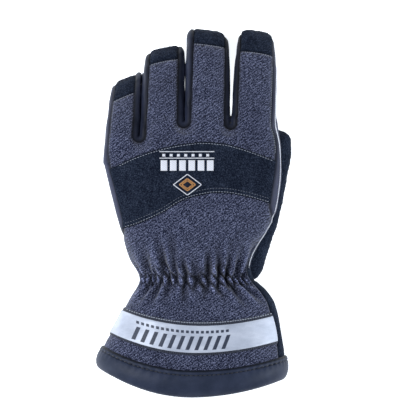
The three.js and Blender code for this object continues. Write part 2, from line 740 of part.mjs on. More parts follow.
place("back_panel", backPanel, cloth);
place("knuckle_panel", knucklePanel, cloth);
fingers.forEach((f, i) => place(`tip_cap_${f.name}`, tipCaps[i], suede));
place("knuckle_band", knuckleBand, suede);
slots.forEach((s, i) => place(`fourchette_${s.name}`, fourchettes[i], smoothLeather));
outerSides.forEach((s) => place(`side_strip_${s.name}`, s.solid, smoothLeather));
place("palm_panel", palmPanel, suede);
place("cuff_palm", cuffPalm, suede);
fingers.forEach((f, i) => place(`finger_front_${f.name}`, fingerFronts[i], suede));
place("thumb_stall", thumbStall, suede);
place("trim_backing", trimBacking, backingTape);
place("reflective_strip", reflectiveStrip, reflective);
place("hem_binding", hemBinding, bindingLeather);

// The origin is the middle of the glove's box, on the surface that it lies on.
const box = new THREE.Box3().setFromObject(glove);
const middle = box.getCenter(new THREE.Vector3());
glove.children.forEach((piece) => piece.position.set(-middle.x, -middle.y, -box.min.z));

export default glove;
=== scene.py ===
# A left firefighter's gauntlet glove, dressed. Its skin is shaped as one smooth surface from
# the glove's sizes, cut along its seams into panels, and finished with gathers, puckered
# seams, stitches, a knuckle band, a reflective strip and a leather binding round the hem.
import math
from collections import namedtuple
from functools import reduce

import bmesh
import bpy
import numpy as np
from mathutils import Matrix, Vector
from mathutils.bvhtree import BVHTree


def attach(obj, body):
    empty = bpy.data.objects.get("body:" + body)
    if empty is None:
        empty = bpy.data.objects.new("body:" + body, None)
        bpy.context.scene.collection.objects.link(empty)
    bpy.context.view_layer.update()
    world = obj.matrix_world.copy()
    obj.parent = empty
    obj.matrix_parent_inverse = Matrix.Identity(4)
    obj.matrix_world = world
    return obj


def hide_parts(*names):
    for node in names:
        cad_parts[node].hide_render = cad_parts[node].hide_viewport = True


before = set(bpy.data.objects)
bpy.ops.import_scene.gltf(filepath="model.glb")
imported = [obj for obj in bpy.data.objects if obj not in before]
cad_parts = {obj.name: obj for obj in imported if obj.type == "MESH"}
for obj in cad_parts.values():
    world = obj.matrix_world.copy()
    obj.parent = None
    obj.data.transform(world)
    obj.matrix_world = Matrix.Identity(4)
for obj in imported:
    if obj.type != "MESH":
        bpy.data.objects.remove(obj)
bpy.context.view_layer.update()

bpy.ops.object.select_all(action="DESELECT")
rng = np.random.default_rng(11)
MM = 0.001

# Sizes in millimetres. The glove lies with its fingers towards +Y. Lengths along it are
# counted from the gathered line at the wrist, which the frame has at this place.
wrist_x, wrist_y = 0.37, -56.68
cuff_length, cuff_width, cuff_height, hem_rise = 96.0, 156.0, 82.0, 23.0
hand_length, hand_width, hand_height, web_lag = 132.6, 147.0, 75.5, 16.0
wall = 2.6
finger_depth, finger_root = 30.0, 0.73 * hand_length
thumb_length, thumb_width, thumb_depth = 124.0, 35.0, 28.0
seam_radius = 5.4
cuff_tip = 0.25
front_root = 0.33
binding_thickness, binding_height, binding_turn_in = 2.2, 22.0, 12.0
# How far the skin runs on below the hem, to be cut there.
spare_cuff = 9.0
# Row of stitches below the binding's upper edge.
hem_row = 3.8
backing_from_hem, backing_height, strip_height = 33.0, 29.0, 22.0
# Places along the cuff of the upper edges of binding and backing and the strip's lower edge.
binding_top = binding_height - cuff_length
backing_top = backing_from_hem + backing_height - cuff_length
strip_bottom = backing_from_hem + (backing_height - strip_height) / 2 - cuff_length
half_hand, half_cuff = hand_width / 2, cuff_width / 2

# Sections of the cuff: share of its length below the wrist, left, right, low, high, and how
# far the ring's left and right sides rise towards the fingers.
cuff_rows = (
    (1.0, -1.0, 0.925, -0.03, 0.975, 1.0, 0.6),
    (0.92, -1.018, 0.96, -0.03, 1.0, 0.97, 0.58),
    (0.73, -0.945, 0.95, -0.03, 0.965, 0.82, 0.48),
    (0.54, -0.84, 0.918, -0.02, 0.915, 0.62, 0.46),
    (0.375, -0.75, 0.878, 0.0, 0.878, 0.53, 0.4),
    (0.23, -0.685, 0.843, 0.05, 0.84, 0.32, 0.24),
    (0.115, -0.62, 0.765, 0.095, 0.81, 0.15, 0.12),
    (0.042, -0.584, 0.69, 0.12, 0.793, 0.05, 0.04),
)
# Sections of the hand: share of its length, left, right, low, high, lag of the web.
hand_rows = (
    (0.0, -0.61, 0.675, 0.14, 0.86, 0.0),
    (0.04, -0.62, 0.628, 0.147, 0.877, 0.0),
    (0.113, -0.715, 0.635, 0.172, 0.927, 0.0),
    (0.196, -0.775, 0.7, 0.225, 0.967, 0.0),
    (0.3, -0.826, 0.816, 0.278, 0.993, 0.0),
    (0.415, -0.882, 0.914, 0.318, 1.0, 0.0),
    (0.528, -0.936, 0.95, 0.331, 0.987, 0.0),
    (0.641, -0.986, 0.973, 0.344, 0.967, 0.0),
    (0.739, -1.02, 0.977, 0.358, 0.94, 0.1),
    (0.815, -1.02, 0.971, 0.371, 0.907, 0.35),
    (0.89, -1.01, 0.955, 0.39, 0.868, 0.65),
    (0.95, -1.0, 0.938, 0.405, 0.84, 0.85),
    (1.0, -0.975, 0.915, 0.425, 0.812, 1.0),
)
# Fingers: length, width, share by which the tip is narrower, x of the middle at the root and
# the tip, slope of the tip, share of the length in the cap, and bow of the cap's seam.
Finger = namedtuple("Finger", "name length width taper root tip slant cap bow")
fingers = (
    Finger("little", 72.0, 30.6, 0.0, -0.83, -0.735, 0.4, 0.22, 0.5),
    Finger("ring", 96.0, 34.4, 0.0, -0.36, -0.335, 0.19, 0.13, 1.6),
    Finger("middle", 111.0, 37.4, 0.03, 0.134, 0.144, -0.13, 0.12, 1.0),
    Finger("index", 110.0, 36.0, 0.11, 0.655, 0.702, -0.155, 0.18, 1.8),
)
# Sections of a finger: share of its length, width, depth.
finger_rows = (
    (0.0, 0.88, 0.86),
    (0.3, 1.0, 1.0),
    (0.5, 1.0, 1.0),
    (0.7, 1.0, 0.96),
    (0.84, 0.98, 0.88),
    (0.93, 0.93, 0.77),
    (1.0, 0.78, 0.5),
)
finger_shares, finger_wides, finger_deeps = zip(*finger_rows)
# Droop of the fingers: share of the length where it starts, and its power.
droop_start, droop_power = 0.28, 1.3
# Slots between the fingers: x and y of the web, half width of the seam there, x and half
# width at the far end, half of the gap between the fingers there, lean from upright, and how
# far from the web the fingers come apart.
Slot = namedtuple("Slot", "name x y near far_x far gap lean start")
slots = (
    Slot("ring_little", -0.623, 0.897, 0.92, -0.575, 1.0, 0.62, -0.04, 0.0),
    Slot("middle_ring", -0.12, 0.99, 0.95, -0.09, 1.15, 0.62, -0.06, 0.0),
    Slot("index_middle", 0.405, 0.975, 0.85, 0.438, 1.1, 2.9, 0.0, 15.0),
)
# Length of a slot and of the valley at its web, half width of a closed slot, and the share
# of the length where it begins to open.
slot_length, scoop_length, slit, gap_opens = 92.0, 12.0, 0.62, 0.14
# The valley at a web: height as a share of half a finger's depth, half width.
scoop_rows = ((0.0, -0.09), (0.45, -0.09), (0.7, 0.4), (0.94, 1.45), (1.3, 2.3), (2.5, 3.0))
scoop_ups, scoop_wides = zip(*scoop_rows)
# Side strips: inset of their seams from the outline, as shares of the seam radius.
side_rows = (
    (0.2, -2.0, -2.0),
    (0.24, -0.3, -1.5),
    (0.36, 0.8, -0.2),
    (0.47, 1.0, 1.35),
    (0.66, 0.85, 1.2),
    (0.81, 0.55, 0.7),
    (1.0, 0.55, 0.7),
    (1.27, 0.6, 0.65),
    (1.45, 0.75, 0.65),
    (1.7, 0.9, 0.75),
)
# Knuckle band: x, its upper edge and its lower edge.
band_rows = (
    (-1.1, 0.65, 0.29),
    (-0.94, 0.694, 0.302),
    (-0.8, 0.731, 0.322),
    (-0.68, 0.763, 0.34),
    (-0.52, 0.795, 0.376),
    (-0.35, 0.823, 0.42),
    (-0.19, 0.841, 0.481),
    (-0.05, 0.852, 0.514),
    (0.07, 0.86, 0.529),
    (0.2, 0.857, 0.542),
    (0.38, 0.845, 0.54),
    (0.6, 0.809, 0.517),
    (0.83, 0.762, 0.479),
    (1.1, 0.7, 0.43),
)
# Thumb: share of its length, x, height of its middle, width, depth.
thumb_rows = (
    (0.0, 0.5, 0.32, 0.8, 0.55),
    (0.06, 0.51, 0.32, 1.08, 0.88),
    (0.18, 0.54, 0.325, 1.19, 1.07),
    (0.33, 0.64, 0.275, 1.12, 1.08),
    (0.46, 0.72, 0.225, 1.06, 1.04),
    (0.57, 0.77, 0.19, 1.0, 1.02),
    (0.7, 0.82, 0.178, 0.97, 1.0),
    (0.83, 0.862, 0.175, 0.96, 0.97),
    (0.92, 0.885, 0.175, 0.88, 0.9),
    (0.97, 0.905, 0.178, 0.72, 0.74),
    (1.0, 0.92, 0.18, 0.5, 0.42),
)
# Powers of the rounded sections, and radii where two surfaces of the skin meet.
back_power, palm_power, finger_power, thumb_power = 2.3, 2.9, 2.6, 2.3
underside_round, finger_underside_round, hand_end_round = 1.5, 2.0, 6.0
fingertip_round, finger_join_round, slot_edge_round = 6.5, 3.5, 1.2
thumb_tip_round, thumb_heel_round = 8.0, 4.0

# Gathers of the elastic wrist, and the folds that run on from them: x and y of the far end
# and x at the wrist, half width, depth.
gather_count, gather_depth, gather_lean = 20, 3.0, 7.5
fold_lines = (
    (-45.0, 30.0, -39.0, 2.2, 1.8),
    (-32.0, 38.0, -24.0, 2.4, 2.9),
    (-23.0, 48.0, -17.0, 2.4, 2.4),
    (-15.0, 26.0, -8.0, 2.0, 2.2),
    (-3.0, 20.0, -1.0, 1.8, 1.5),
    (10.5, 30.0, 8.0, 2.0, 2.8),
    (16.5, 36.0, 19.0, 2.2, 2.4),
    (28.0, 30.0, 24.0, 2.0, 2.0),
    (36.0, 28.0, 31.0, 2.0, 2.2),
    (52.0, 38.0, 37.0, 2.6, 2.4),
    (-52.0, -32.0, -36.0, 2.4, 2.0),
    (-42.0, -30.0, -29.0, 2.4, 2.4),
    (-30.0, -24.0, -21.0, 2.2, 1.7),
    (-11.0, -22.0, -10.0, 2.2, 2.6),
    (6.0, -16.0, 4.0, 2.0, 1.4),
    (24.0, -20.0, 15.0, 2.2, 1.8),
    (43.0, -26.0, 24.0, 2.4, 2.4),
    (56.0, -24.0, 33.0, 2.4, 2.2),
)
# Level of flat cloth and leather in the attribute of painted light: below it the colour gets a painted
# highlight, above it painted shade in folds and along seams.
flat_shade = 0.3


def smoothstep(a, b, v):
    t = np.clip((v - a) / (b - a), 0, 1)
    return t * t * (3 - 2 * t)


def signed_power(v, p):
    return np.sign(v) * np.abs(v) ** p


def least(*fields):
    """Where all of the fields are above zero, the distance from the nearest of their ends."""
    return reduce(np.minimum, fields)


def unit(vectors):
    return vectors / np.linalg.norm(vectors, axis=-1, keepdims=True)


def way_along(line):
    """Distance along a line of points, at each of them."""
    return np.concatenate([[0], np.cumsum(np.linalg.norm(np.diff(line, axis=0), axis=1))])


def soft_max(a, b, k):
    """The larger of two fields, rounded over k where they cross."""
    h = np.maximum(k - np.abs(a - b), 0) / k
    return np.maximum(a, b) + h * h * k * 0.25


def soft_min(a, b, k):
    return -soft_max(-a, -b, k)


stations = np.arange(-130.0, 215.0, 1.0)
kernel_half = 14


def softened(ys, values, reach=3.5):
    """A column of a table as a smooth curve along or across the glove."""
    span = np.arange(-kernel_half, kernel_half + 1)
    kernel = np.exp(-0.5 * (span / reach) ** 2)
    kernel /= kernel.sum()
    fine = np.pad(np.interp(stations, ys, values), kernel_half, mode="edge")
    curve = np.convolve(fine, kernel, mode="valid")
    return lambda y: np.interp(y, stations, curve)


def body_curves():
    rows = [
        (-d * cuff_length, l * half_cuff, r * half_cuff, lo * cuff_height, hi * cuff_height,
         rl * hem_rise, rr * hem_rise, 0.0)
        for d, l, r, lo, hi, rl, rr in cuff_rows
    ]
    rows += [
        (u * hand_length, l * half_hand, r * half_hand, lo * hand_height, hi * hand_height,
         0.0, 0.0, lag * web_lag)
        for u, l, r, lo, hi, lag in hand_rows
    ]
    ys = [r[0] for r in rows]
    names = ("left", "right", "low", "high", "rise_left", "rise_right", "lag")
    return {n: softened(ys, [r[i + 1] for r in rows]) for i, n in enumerate(names)}


body = body_curves()


def between(low, high, s):
    """Middle and half of the span between two of the body's curves."""
    return (body[low](s) + body[high](s)) / 2, (body[high](s) - body[low](s)) / 2


def ring_rise(across, s):
    """How far a ring of the body has risen towards the fingers at its left or right."""
    return np.where(across < 0, body["rise_left"](s), body["rise_right"](s)) * across**2


def ring_of(x, y):
    """The ring of the body that a plan point lies on, and how far across it the point is."""
    s = y.copy()
    for _ in range(5):
        centre, half = between("left", "right", s)
        across = np.clip((x - centre) / half, -1.12, 1.12)
        s = y - ring_rise(across, s) + body["lag"](s) * smoothstep(0.3, 0.85, -across)
    return s, (x - centre) / half


def superellipse(across, up, half_width, half_height, power):
    """Distance from a rounded section, near its outline."""
    a, b = np.abs(across), np.abs(up)
    r = np.maximum((a**power + b**power) ** (1 / power), 1e-3)
    slope = r ** (1 - power) * np.hypot(a ** (power - 1) / half_width, b ** (power - 1) / half_height)
    return (r - 1) / np.maximum(slope, 1e-6)


def body_field(x, y, z):
    s, across = ring_of(x, y)
    _, half = between("left", "right", s)
    middle, height = between("low", "high", s)
    up = (z - middle) / height
    power = np.where(up > 0, back_power, palm_power)
    field = superellipse(across, up, half, height, power)
    field = soft_max(field, binding_thickness - z, underside_round)
    field = soft_max(field, s - hand_length - 1, hand_end_round)
    return np.maximum(field, -cuff_length - spare_cuff - s)


def finger_share(i, y):
    return (y - finger_root) / fingers[i].length


def finger_middle(i, y):
    _, _, _, web_low, web_high, _ = hand_rows[-1]
    level = (web_low + web_high) / 2 * hand_height
    rest = 0.4 * finger_depth
    share = np.clip((finger_share(i, y) - droop_start) / (1 - droop_start), 0, 1)
    return level - (level - rest) * share**droop_power


def finger_centre(i, share):
    finger = fingers[i]
    return (finger.root + (finger.tip - finger.root) * share) * half_hand


def finger_field(i, x, y, z):
    finger = fingers[i]
    share = np.clip(finger_share(i, y), 0, 1)
    along = y - finger.slant * (x - finger_centre(i, share)) * share**3
    share = np.clip(finger_share(i, along), 0, 1)
    half = np.interp(share, finger_shares, finger_wides) * finger.width / 2
    half = half * (1 - finger.taper * smoothstep(0.5, 1.0, share))
    depth = np.interp(share, finger_shares, finger_deeps) * finger_depth / 2
    across = (x - finger_centre(i, share)) / half
    up = (z - finger_middle(i, along)) / depth
    field = superellipse(across, up, half, depth, finger_power)
    field = soft_max(field, along - finger_root - finger.length - 0.3, fingertip_round)
    field = soft_max(field, -z, finger_underside_round)
    return np.maximum(field, finger_root - y)


def slot_axis(i, y):
    slot = slots[i]
    share = (y - slot.y * hand_length) / slot_length
    return (slot.x + (slot.far_x - slot.x) * share) * half_hand


def slot_distance(i, x, y, length):
    """Plan distance from a slot's middle line, and how far along it the nearest point is."""
    slot = slots[i]
    web_x, web_y = slot.x * half_hand, slot.y * hand_length
    slope = (slot.far_x - slot.x) * half_hand / slot_length
    along = np.clip((y - web_y + slope * (x - web_x)) / (1 + slope**2), 0, length)
    return np.hypot(x - web_x - slope * along, y - web_y - along), along


def valley_field(i, x, y, z):
    """The slot between two fingers and the rounded valley over its web."""
    slot = slots[i]
    middle = (finger_middle(i, y) + finger_middle(i + 1, y)) / 2
    up = np.abs(z - middle) / (finger_depth / 2)
    x = x + slot.lean * (z - middle)
    reach, _ = slot_distance(i, x, y, scoop_length)
    wide = np.interp(up, scoop_ups, scoop_wides) * seam_radius
    beyond_tips = slot_length + 40
    near, along = slot_distance(i, x, y, beyond_tips)
    near = np.maximum(near, slot.start - along)
    opening = smoothstep(gap_opens, 1.0, np.minimum(along / slot_length, 1))
    return np.minimum(reach - wide - slit, near - slit - (slot.gap - slit) * opening)


def thumb_field(x, y, z):
    shares, centres, lifts, wides, depths = np.array(thumb_rows).T
    alongs = shares * thumb_length
    centre = softened(alongs, centres * half_hand, 3)(y)
    lift = softened(alongs, lifts * hand_height, 3)(y)
    half = softened(alongs, wides * thumb_width / 2, 2)(y)
    depth = softened(alongs, depths * thumb_depth / 2, 2)(y)
    field = superellipse((x - centre) / half, (z - lift) / depth, half, depth, thumb_power)
    field = soft_max(field, y - thumb_length, thumb_tip_round)
    field = soft_max(field, -z, underside_round)
    return soft_max(field, -y, thumb_heel_round)


def glove_field(x, y, z):
    """Signed distance of hand, cuff and fingers at every height over plan points."""
    field = body_field(x, y, z)
    every = np.ones(z.shape[2], bool)
    finger_reach, slot_reach = 30, 22
    for i in range(4):
        cols = np.abs(x[:, 0, 0] - finger_centre(i, 0.5)) < finger_reach
        rows = y[0, :, 0] > finger_root - 1
        part = np.ix_(cols, rows, every)
        finger = finger_field(i, x[np.ix_(cols, rows)], y[np.ix_(cols, rows)], z)
        field[part] = soft_min(field[part], finger, finger_join_round)
    for i in range(3):
        cols = np.abs(x[:, 0, 0] - slot_axis(i, hand_length)) < slot_reach
        rows = y[0, :, 0] > slots[i].y * hand_length - slot_reach
        part = np.ix_(cols, rows, every)
        valley = valley_field(i, x[np.ix_(cols, rows)], y[np.ix_(cols, rows)], z)
        field[part] = soft_max(field[part], -valley, slot_edge_round)
    return field


def surface_nets(field, xs, ys, zs):
    """The zero surface of a sampled field, as points and outward four-sided faces."""
    inside = field < 0
    axes = (xs, ys, zs)
    cells, places, faces = [], [], []
    shape = np.array(field.shape)
    stride = np.array([shape[1] * shape[2], shape[2], 1])
    for axis in range(3):
        low = [slice(None)] * 3
        high = [slice(None)] * 3
        low[axis], high[axis] = slice(None, -1), slice(1, None)
        a, b = field[tuple(low)], field[tuple(high)]
        at = np.argwhere(inside[tuple(low)] != inside[tuple(high)])
        fa, fb = a[tuple(at.T)], b[tuple(at.T)]
        share = fa / (fa - fb)
        place = np.stack([axes[k][at[:, k]] for k in range(3)], 1).astype(float)
        step = axes[axis][at[:, axis] + 1] - axes[axis][at[:, axis]]
        place[:, axis] += share * step
        u, v = (axis + 1) % 3, (axis + 2) % 3
        around = []
        for du, dv in ((1, 1), (0, 1), (0, 0), (1, 0)):
            cell = at.copy()
            cell[:, u] -= du
            cell[:, v] -= dv
            around.append(cell @ stride)
            cells.append(around[-1])
            places.append(place)
        around = np.stack(around, 1)
        leaving = fa < 0
        faces.append(np.where(leaving[:, None], around, around[:, ::-1]))
    cells, places = np.concatenate(cells), np.concatenate(places)
    used, index = np.unique(cells, return_inverse=True)
    count = np.bincount(index)
    points = np.stack([np.bincount(index, places[:, k]) / count for k in range(3)], 1)
    return points, np.searchsorted(used, np.concatenate(faces))


def face_normals(points, faces):
    a = points[faces[:, 2]] - points[faces[:, 0]]
    b = points[faces[:, -1]] - points[faces[:, 1]]
    return np.cross(a, b)


def point_normals(points, faces):
    """Normals at the points, averaged from the faces round them."""
    normal = face_normals(points, faces)
    total = np.zeros_like(points)
    for k in range(faces.shape[1]):
        for axis in range(3):
            total[:, axis] += np.bincount(faces[:, k], normal[:, axis], len(points))
    return total / np.maximum(np.linalg.norm(total, axis=1, keepdims=True), 1e-12)


def relaxed(points, faces, rounds, pull=0.5):
    """Points drawn towards their neighbours and back, which evens a net without shrinking."""
    edges = np.concatenate([faces[:, [k, (k + 1) % faces.shape[1]]] for k in range(faces.shape[1])])
    count = np.bincount(edges[:, 0], minlength=len(points)).astype(float)
    for _ in range(rounds):
        for amount in (pull, -pull * 1.04):
            mean = np.stack(
                [np.bincount(edges[:, 0], points[edges[:, 1], k], len(points)) for k in range(3)], 1
            )
            points = points + amount * (mean / count[:, None] - points)
    return points


def side_edge_curves():
    """The glove's left and right outline, of the hand and then of the outer fingers."""
    left, right = [], []
    for y in stations:
        if y <= 0.93 * hand_length:
            left.append(float(body["left"](y)))
            right.append(float(body["right"](y)))
            continue
        for i, side, out in ((0, -1, left), (3, 1, right)):
            share = min(1.0, finger_share(i, y))
            wide = np.interp(min(share, 0.84), finger_shares, finger_wides)
            out.append(finger_centre(i, share) + side * wide * fingers[i].width / 2)
    return softened(stations, left, 3), softened(stations, right, 3)


edge_left, edge_right = side_edge_curves()
side_shares, left_insets, right_insets = np.array(side_rows).T
inset_left, inset_right = (
    softened(side_shares * hand_length, insets * seam_radius, 3) for insets in (left_insets, right_insets)
)
band_shares, band_tops, band_bottoms = np.array(band_rows).T
band_top, band_bottom = (
    softened(band_shares * half_hand, edges * hand_length, 3) for edges in (band_tops, band_bottoms)
)
slot_middles = [(slot.x + slot.far_x) / 2 * half_hand for slot in slots]


def lane_of(x):
    """Number of the finger whose lane a point's x lies in."""
    return np.searchsorted(slot_middles, x)


def seam_height(x, y):
    """Height of the seam that parts the back of the glove from its palm side."""
    tip = cuff_tip * (1 - smoothstep(0.05 * hand_length, 0.3 * hand_length, y))
    hand = (body["low"](y) + body["high"](y)) / 2 + tip * x
    lane = lane_of(x)
    finger = np.choose(lane, [finger_middle(i, y) for i in range(4)])
    return hand + (finger - hand) * smoothstep(finger_root - 12, finger_root + 12, y)


def cross_seam(i, share, slant, bow):
    """A seam across one finger, bowed towards its tip by bow at its middle."""
    centre = finger_centre(i, share)
    y0 = finger_root + share * fingers[i].length
    half = fingers[i].width / 2

    def distance(x, y):
        aside = x - centre
        return y - (y0 + slant * aside + bow * (1 - np.clip(aside / half, -1.2, 1.2) ** 2))

    return distance


cap_lines = [cross_seam(i, 1 - finger.cap, finger.slant, finger.bow) for i, finger in enumerate(fingers)]
front_bow = -1.5
front_lines = [cross_seam(i, front_root, 0.0, front_bow) for i in range(4)]


def seam_fields(p):
    """Signed distances of points from every seam, larger on the named side."""
    x, y, z = p.T
    s, across = ring_of(x, y)
    fields = {"ring": s, "across": across, "up": z - seam_height(x, y)}
    fields["side_little"] = x - edge_left(y) - inset_left(y)
    fields["side_index"] = edge_right(y) - inset_right(y) - x
    panel = np.minimum(fields["side_little"], fields["side_index"])
    for i, slot in enumerate(slots):
        reach, along = slot_distance(i, x, y, slot_length)
        radius = (slot.near + (slot.far - slot.near) * along / slot_length) * seam_radius
        fields[slot.name] = reach - radius
        panel = np.minimum(panel, fields[slot.name])
    fields["panel"] = panel
    lane = lane_of(x)
    fields["lane"] = lane
    fields["cap"] = np.choose(lane, [line(x, y) for line in cap_lines])
    fields["front"] = np.choose(lane, [line(x, y) for line in front_lines])
    fields["thumb"] = thumb_field(x, y, z)
    fields["band"] = np.minimum(band_top(x) - y, y - band_bottom(x))
    return fields


def clipped(points, triangles, value):
    """The part of a mesh of triangles where value is above zero, cut along value's zero."""
    value = np.where(np.abs(value) < 1e-6, 1e-6, value)
    inside = value[triangles] > 0
    count = inside.sum(1)
    kept = [triangles[count == 3]]
    new_points, first_new = [points], len(points)
    cut = triangles[(count > 0) & (count < 3)]
    cut_inside = inside[(count > 0) & (count < 3)]
    edges = np.concatenate([cut[:, [k, (k + 1) % 3]] for k in range(3)])
    crossing = (value[edges[:, 0]] > 0) != (value[edges[:, 1]] > 0)
    pairs = np.sort(edges[crossing], 1)
    pairs = np.unique(pairs, axis=0)
    share = value[pairs[:, 0]] / (value[pairs[:, 0]] - value[pairs[:, 1]])
    new_points.append(points[pairs[:, 0]] + share[:, None] * (points[pairs[:, 1]] - points[pairs[:, 0]]))
    code = {(a, b): first_new + k for k, (a, b) in enumerate(pairs.tolist())}

    def crossing_point(a, b):
        return code[(a, b) if a < b else (b, a)]

    extra = []
    for corner, flags in zip(cut.tolist(), cut_inside.tolist()):
        single = sum(flags) == 1
        k = flags.index(single)
        a, b, c = corner[k], corner[(k + 1) % 3], corner[(k + 2) % 3]
        ab, ca = crossing_point(a, b), crossing_point(c, a)
        if single:
            extra.append((a, ab, ca))
        else:
            extra.append((ab, b, c))
            extra.append((ab, c, ca))
    if extra:
        kept.append(np.array(extra))
    triangles = np.concatenate(kept)
    used, index = np.unique(triangles, return_inverse=True)
    return np.concatenate(new_points)[used], index.reshape(-1, 3)


def largest_part(points, triangles):
    """A mesh without the specks that a cut leaves beside its main part."""
    label = np.arange(len(points))
    while True:
        joined = label.copy()
        lowest = label[triangles].min(1)
        for k in range(3):
            np.minimum.at(joined, triangles[:, k], lowest)
        joined = joined[joined]
        if (joined == label).all():
            break
        label = joined
    part = label[triangles[:, 0]]
    triangles = triangles[part == np.bincount(part).argmax()]
    used, index = np.unique(triangles, return_inverse=True)
    return points[used], index.reshape(-1, 3)


def gathers(p, s, across):
    """Sink of the cloth at the wrist: fine pleats that cross over at the elastic, broader ones
    that run on from them, and the main folds. It is nought at the side seams."""
    x, _, z = p.T
    middle, height = between("low", "high", s)
    angle = np.arctan2(
        signed_power((z - middle) / height, back_power / 2), signed_power(across, back_power / 2)
    )
    turn = angle / (2 * np.pi)
    back = smoothstep(0.0, 0.05, turn) * (1 - smoothstep(0.45, 0.5, turn))
    wander = 0.35 * np.sin(37 * turn + 1.0) + 0.3 * np.sin(83 * turn + 0.06 * s)
    phase = 2 * gather_count * turn
    one, other = (
        (0.5 + 0.5 * np.cos(2 * np.pi * (phase + lean * s / gather_lean) + wander)) ** 2.2
        for lean in (0.5, -0.5)
    )
    fine = one + other - one * other
    uneven = 0.9 + 0.2 * np.sin(29 * turn) * np.sin(51 * turn + 2)
    reach = np.where(s > 0, 8.0 + 3 * np.sin(43 * turn), 7.0 + 2.5 * np.sin(31 * turn + 1))
    zone = np.exp(-np.abs(s / reach) ** 2) * back
    sink = gather_depth * uneven * fine * zone
    # Pattern of the pleats, above nought in their hollows and below on their crests, for painted shade and
    # painted highlight.
    pleats = (uneven * fine - 0.42) * zone
    broad = 0.5 - 0.5 * np.cos(0.7 * np.pi * phase + 2 * wander + 1.0)
    sink += 1.2 * broad * np.exp(-((s / 15) ** 2))
    _, wrist_left, wrist_right, *_ = hand_rows[0]
    wrist_middle = (wrist_left + wrist_right) / 2 * half_hand
    for far_x, far_y, near_x, wide, deep in fold_lines:
        share = np.clip(s / far_y, -0.2, 1.3)
        line = near_x + (far_x - near_x) * np.clip(share, 0, 1) ** 0.85
        aside = (x - wrist_middle - line) / (wide * (1 + 0.8 * np.clip(share, 0, 1)))
        fade = np.where(share < 0, np.exp(-((share / 0.12) ** 2)), (1 - smoothstep(0.25, 1.15, share)))
        crest = 0.45 * np.exp(-((np.abs(aside) - 1.7) / 0.8) ** 2)
        fade = fade * (0.25 + 0.75 * smoothstep(0.0, 0.3, share))
        sink += 1.5 * deep * fade * (np.exp(-(aside**2)) - crest)
    return sink * back, pleats


def unevenness(p, size, seed):
    """Smooth wandering between -1 and 1, with features of about the size given."""
    source = np.random.default_rng(seed)
    total = np.zeros(len(p))
    for _ in range(7):
        way = source.normal(size=3)
        way *= 2 * np.pi / size / np.linalg.norm(way) * source.uniform(0.6, 1.3)
        total += np.sin(p @ way + source.uniform(0, 6.28))
    return total / 4


def seam_dip(distance, deep=0.75, wide=1.3):
    """How far a panel rolls in towards a seam, with a broad crown between seams."""
    d = np.abs(distance)
    return deep * np.exp(-((d / wide) ** 2)) + 0.35 * np.exp(-((d / 5.0) ** 2))


def new_object(name, points, faces):
    mesh = bpy.data.meshes.new(name)
    faces = faces.tolist() if isinstance(faces, np.ndarray) else faces
    mesh.from_pydata((points * MM).tolist(), [], faces)
    mesh.update()
    piece = bpy.data.objects.new(name, mesh)
    bpy.context.scene.collection.objects.link(piece)
    return piece


def in_frame(points):
    return points + np.array([wrist_x, wrist_y, 0.0])


def only_selected(piece):
    bpy.ops.object.select_all(action="DESELECT")
    piece.select_set(True)
    bpy.context.view_layer.objects.active = piece


def rounded(piece, angle):
    only_selected(piece)
    bpy.ops.object.shade_smooth_by_angle(angle=math.radians(angle))
    piece.select_set(False)


def thicken(piece, thickness, limit=190000):
    """Gives a sheet its wall, inwards, and keeps its count of faces within the limit."""
    count = len(piece.data.polygons)
    if 2 * count > limit:
        thin = piece.modifiers.new("thin", "DECIMATE")
        thin.ratio = limit / (2.05 * count)
    solid = piece.modifiers.new("wall", "SOLIDIFY")
    solid.thickness = thickness * MM
    solid.offset = -1
    solid.use_even_offset = False
    solid.material_offset = 1 if len(piece.data.materials) > 1 else 0
    only_selected(piece)
    for modifier in list(piece.modifiers):
        bpy.ops.object.modifier_apply(modifier=modifier.name)


def finished(name, points, faces, finishes, nodes=(), crease=None, thickness=0.0, angle=50):
    """A piece with its materials, its wall and its smooth faces, hung on the root body, with the model's
    parts that it stands for hidden.
    """
    piece = new_object(name, points, faces)
    # Per point, the painted shade and painted highlight of its colour.
    if crease is not None:
        piece.data.attributes.new("crease", "FLOAT", "POINT").data.foreach_set("value", crease)
    for finish in finishes:
        piece.data.materials.append(finish)
    if thickness:
        thicken(piece, thickness)
    rounded(piece, angle)
    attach(piece, "root")
    if nodes:
        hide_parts(*nodes)


cell_x, cell_y, cell_z = 0.85, 1.0, 0.95


def glove_skin():
    """Outer skin of hand, cuff and fingers as one net of four-sided faces."""
    xs = np.arange(-86, 84, cell_x).astype(np.float32)
    ys = np.arange(-112, 216, cell_y).astype(np.float32)
    zs = np.arange(-3.3, 87, cell_z).astype(np.float32)
    x, y, z = xs[:, None, None], ys[None, :, None], zs[None, None, :]
    plan_x = np.broadcast_to(x, (len(xs), len(ys), 1)).copy()
    plan_y = np.broadcast_to(y, (len(xs), len(ys), 1)).copy()
    field = glove_field(plan_x, plan_y, z)
    points, faces = surface_nets(field, xs.astype(float), ys.astype(float), zs.astype(float))
    return relaxed(points, faces, 3), faces


def refined(points, faces, near):
    """The net as triangles, with its faces split in four where near is true."""
    mesh = bpy.data.meshes.new("net")
    mesh.from_pydata(points.tolist(), [], faces.tolist())
    net = bmesh.new()
    net.from_mesh(mesh)
    edges = [e for e in net.edges if near[e.verts[0].index] and near[e.verts[1].index]]
    bmesh.ops.subdivide_edges(net, edges=edges, cuts=1, use_grid_fill=True)
    bmesh.ops.triangulate(net, faces=net.faces[:])
    net.to_mesh(mesh)
    net.free()
    place = np.zeros(len(mesh.vertices) * 3)
    mesh.vertices.foreach_get("co", place)
    corner = np.zeros(len(mesh.polygons) * 3, int)
    mesh.polygons.foreach_get("vertices", corner)
    bpy.data.meshes.remove(mesh)
    return place.reshape(-1, 3), corner.reshape(-1, 3)


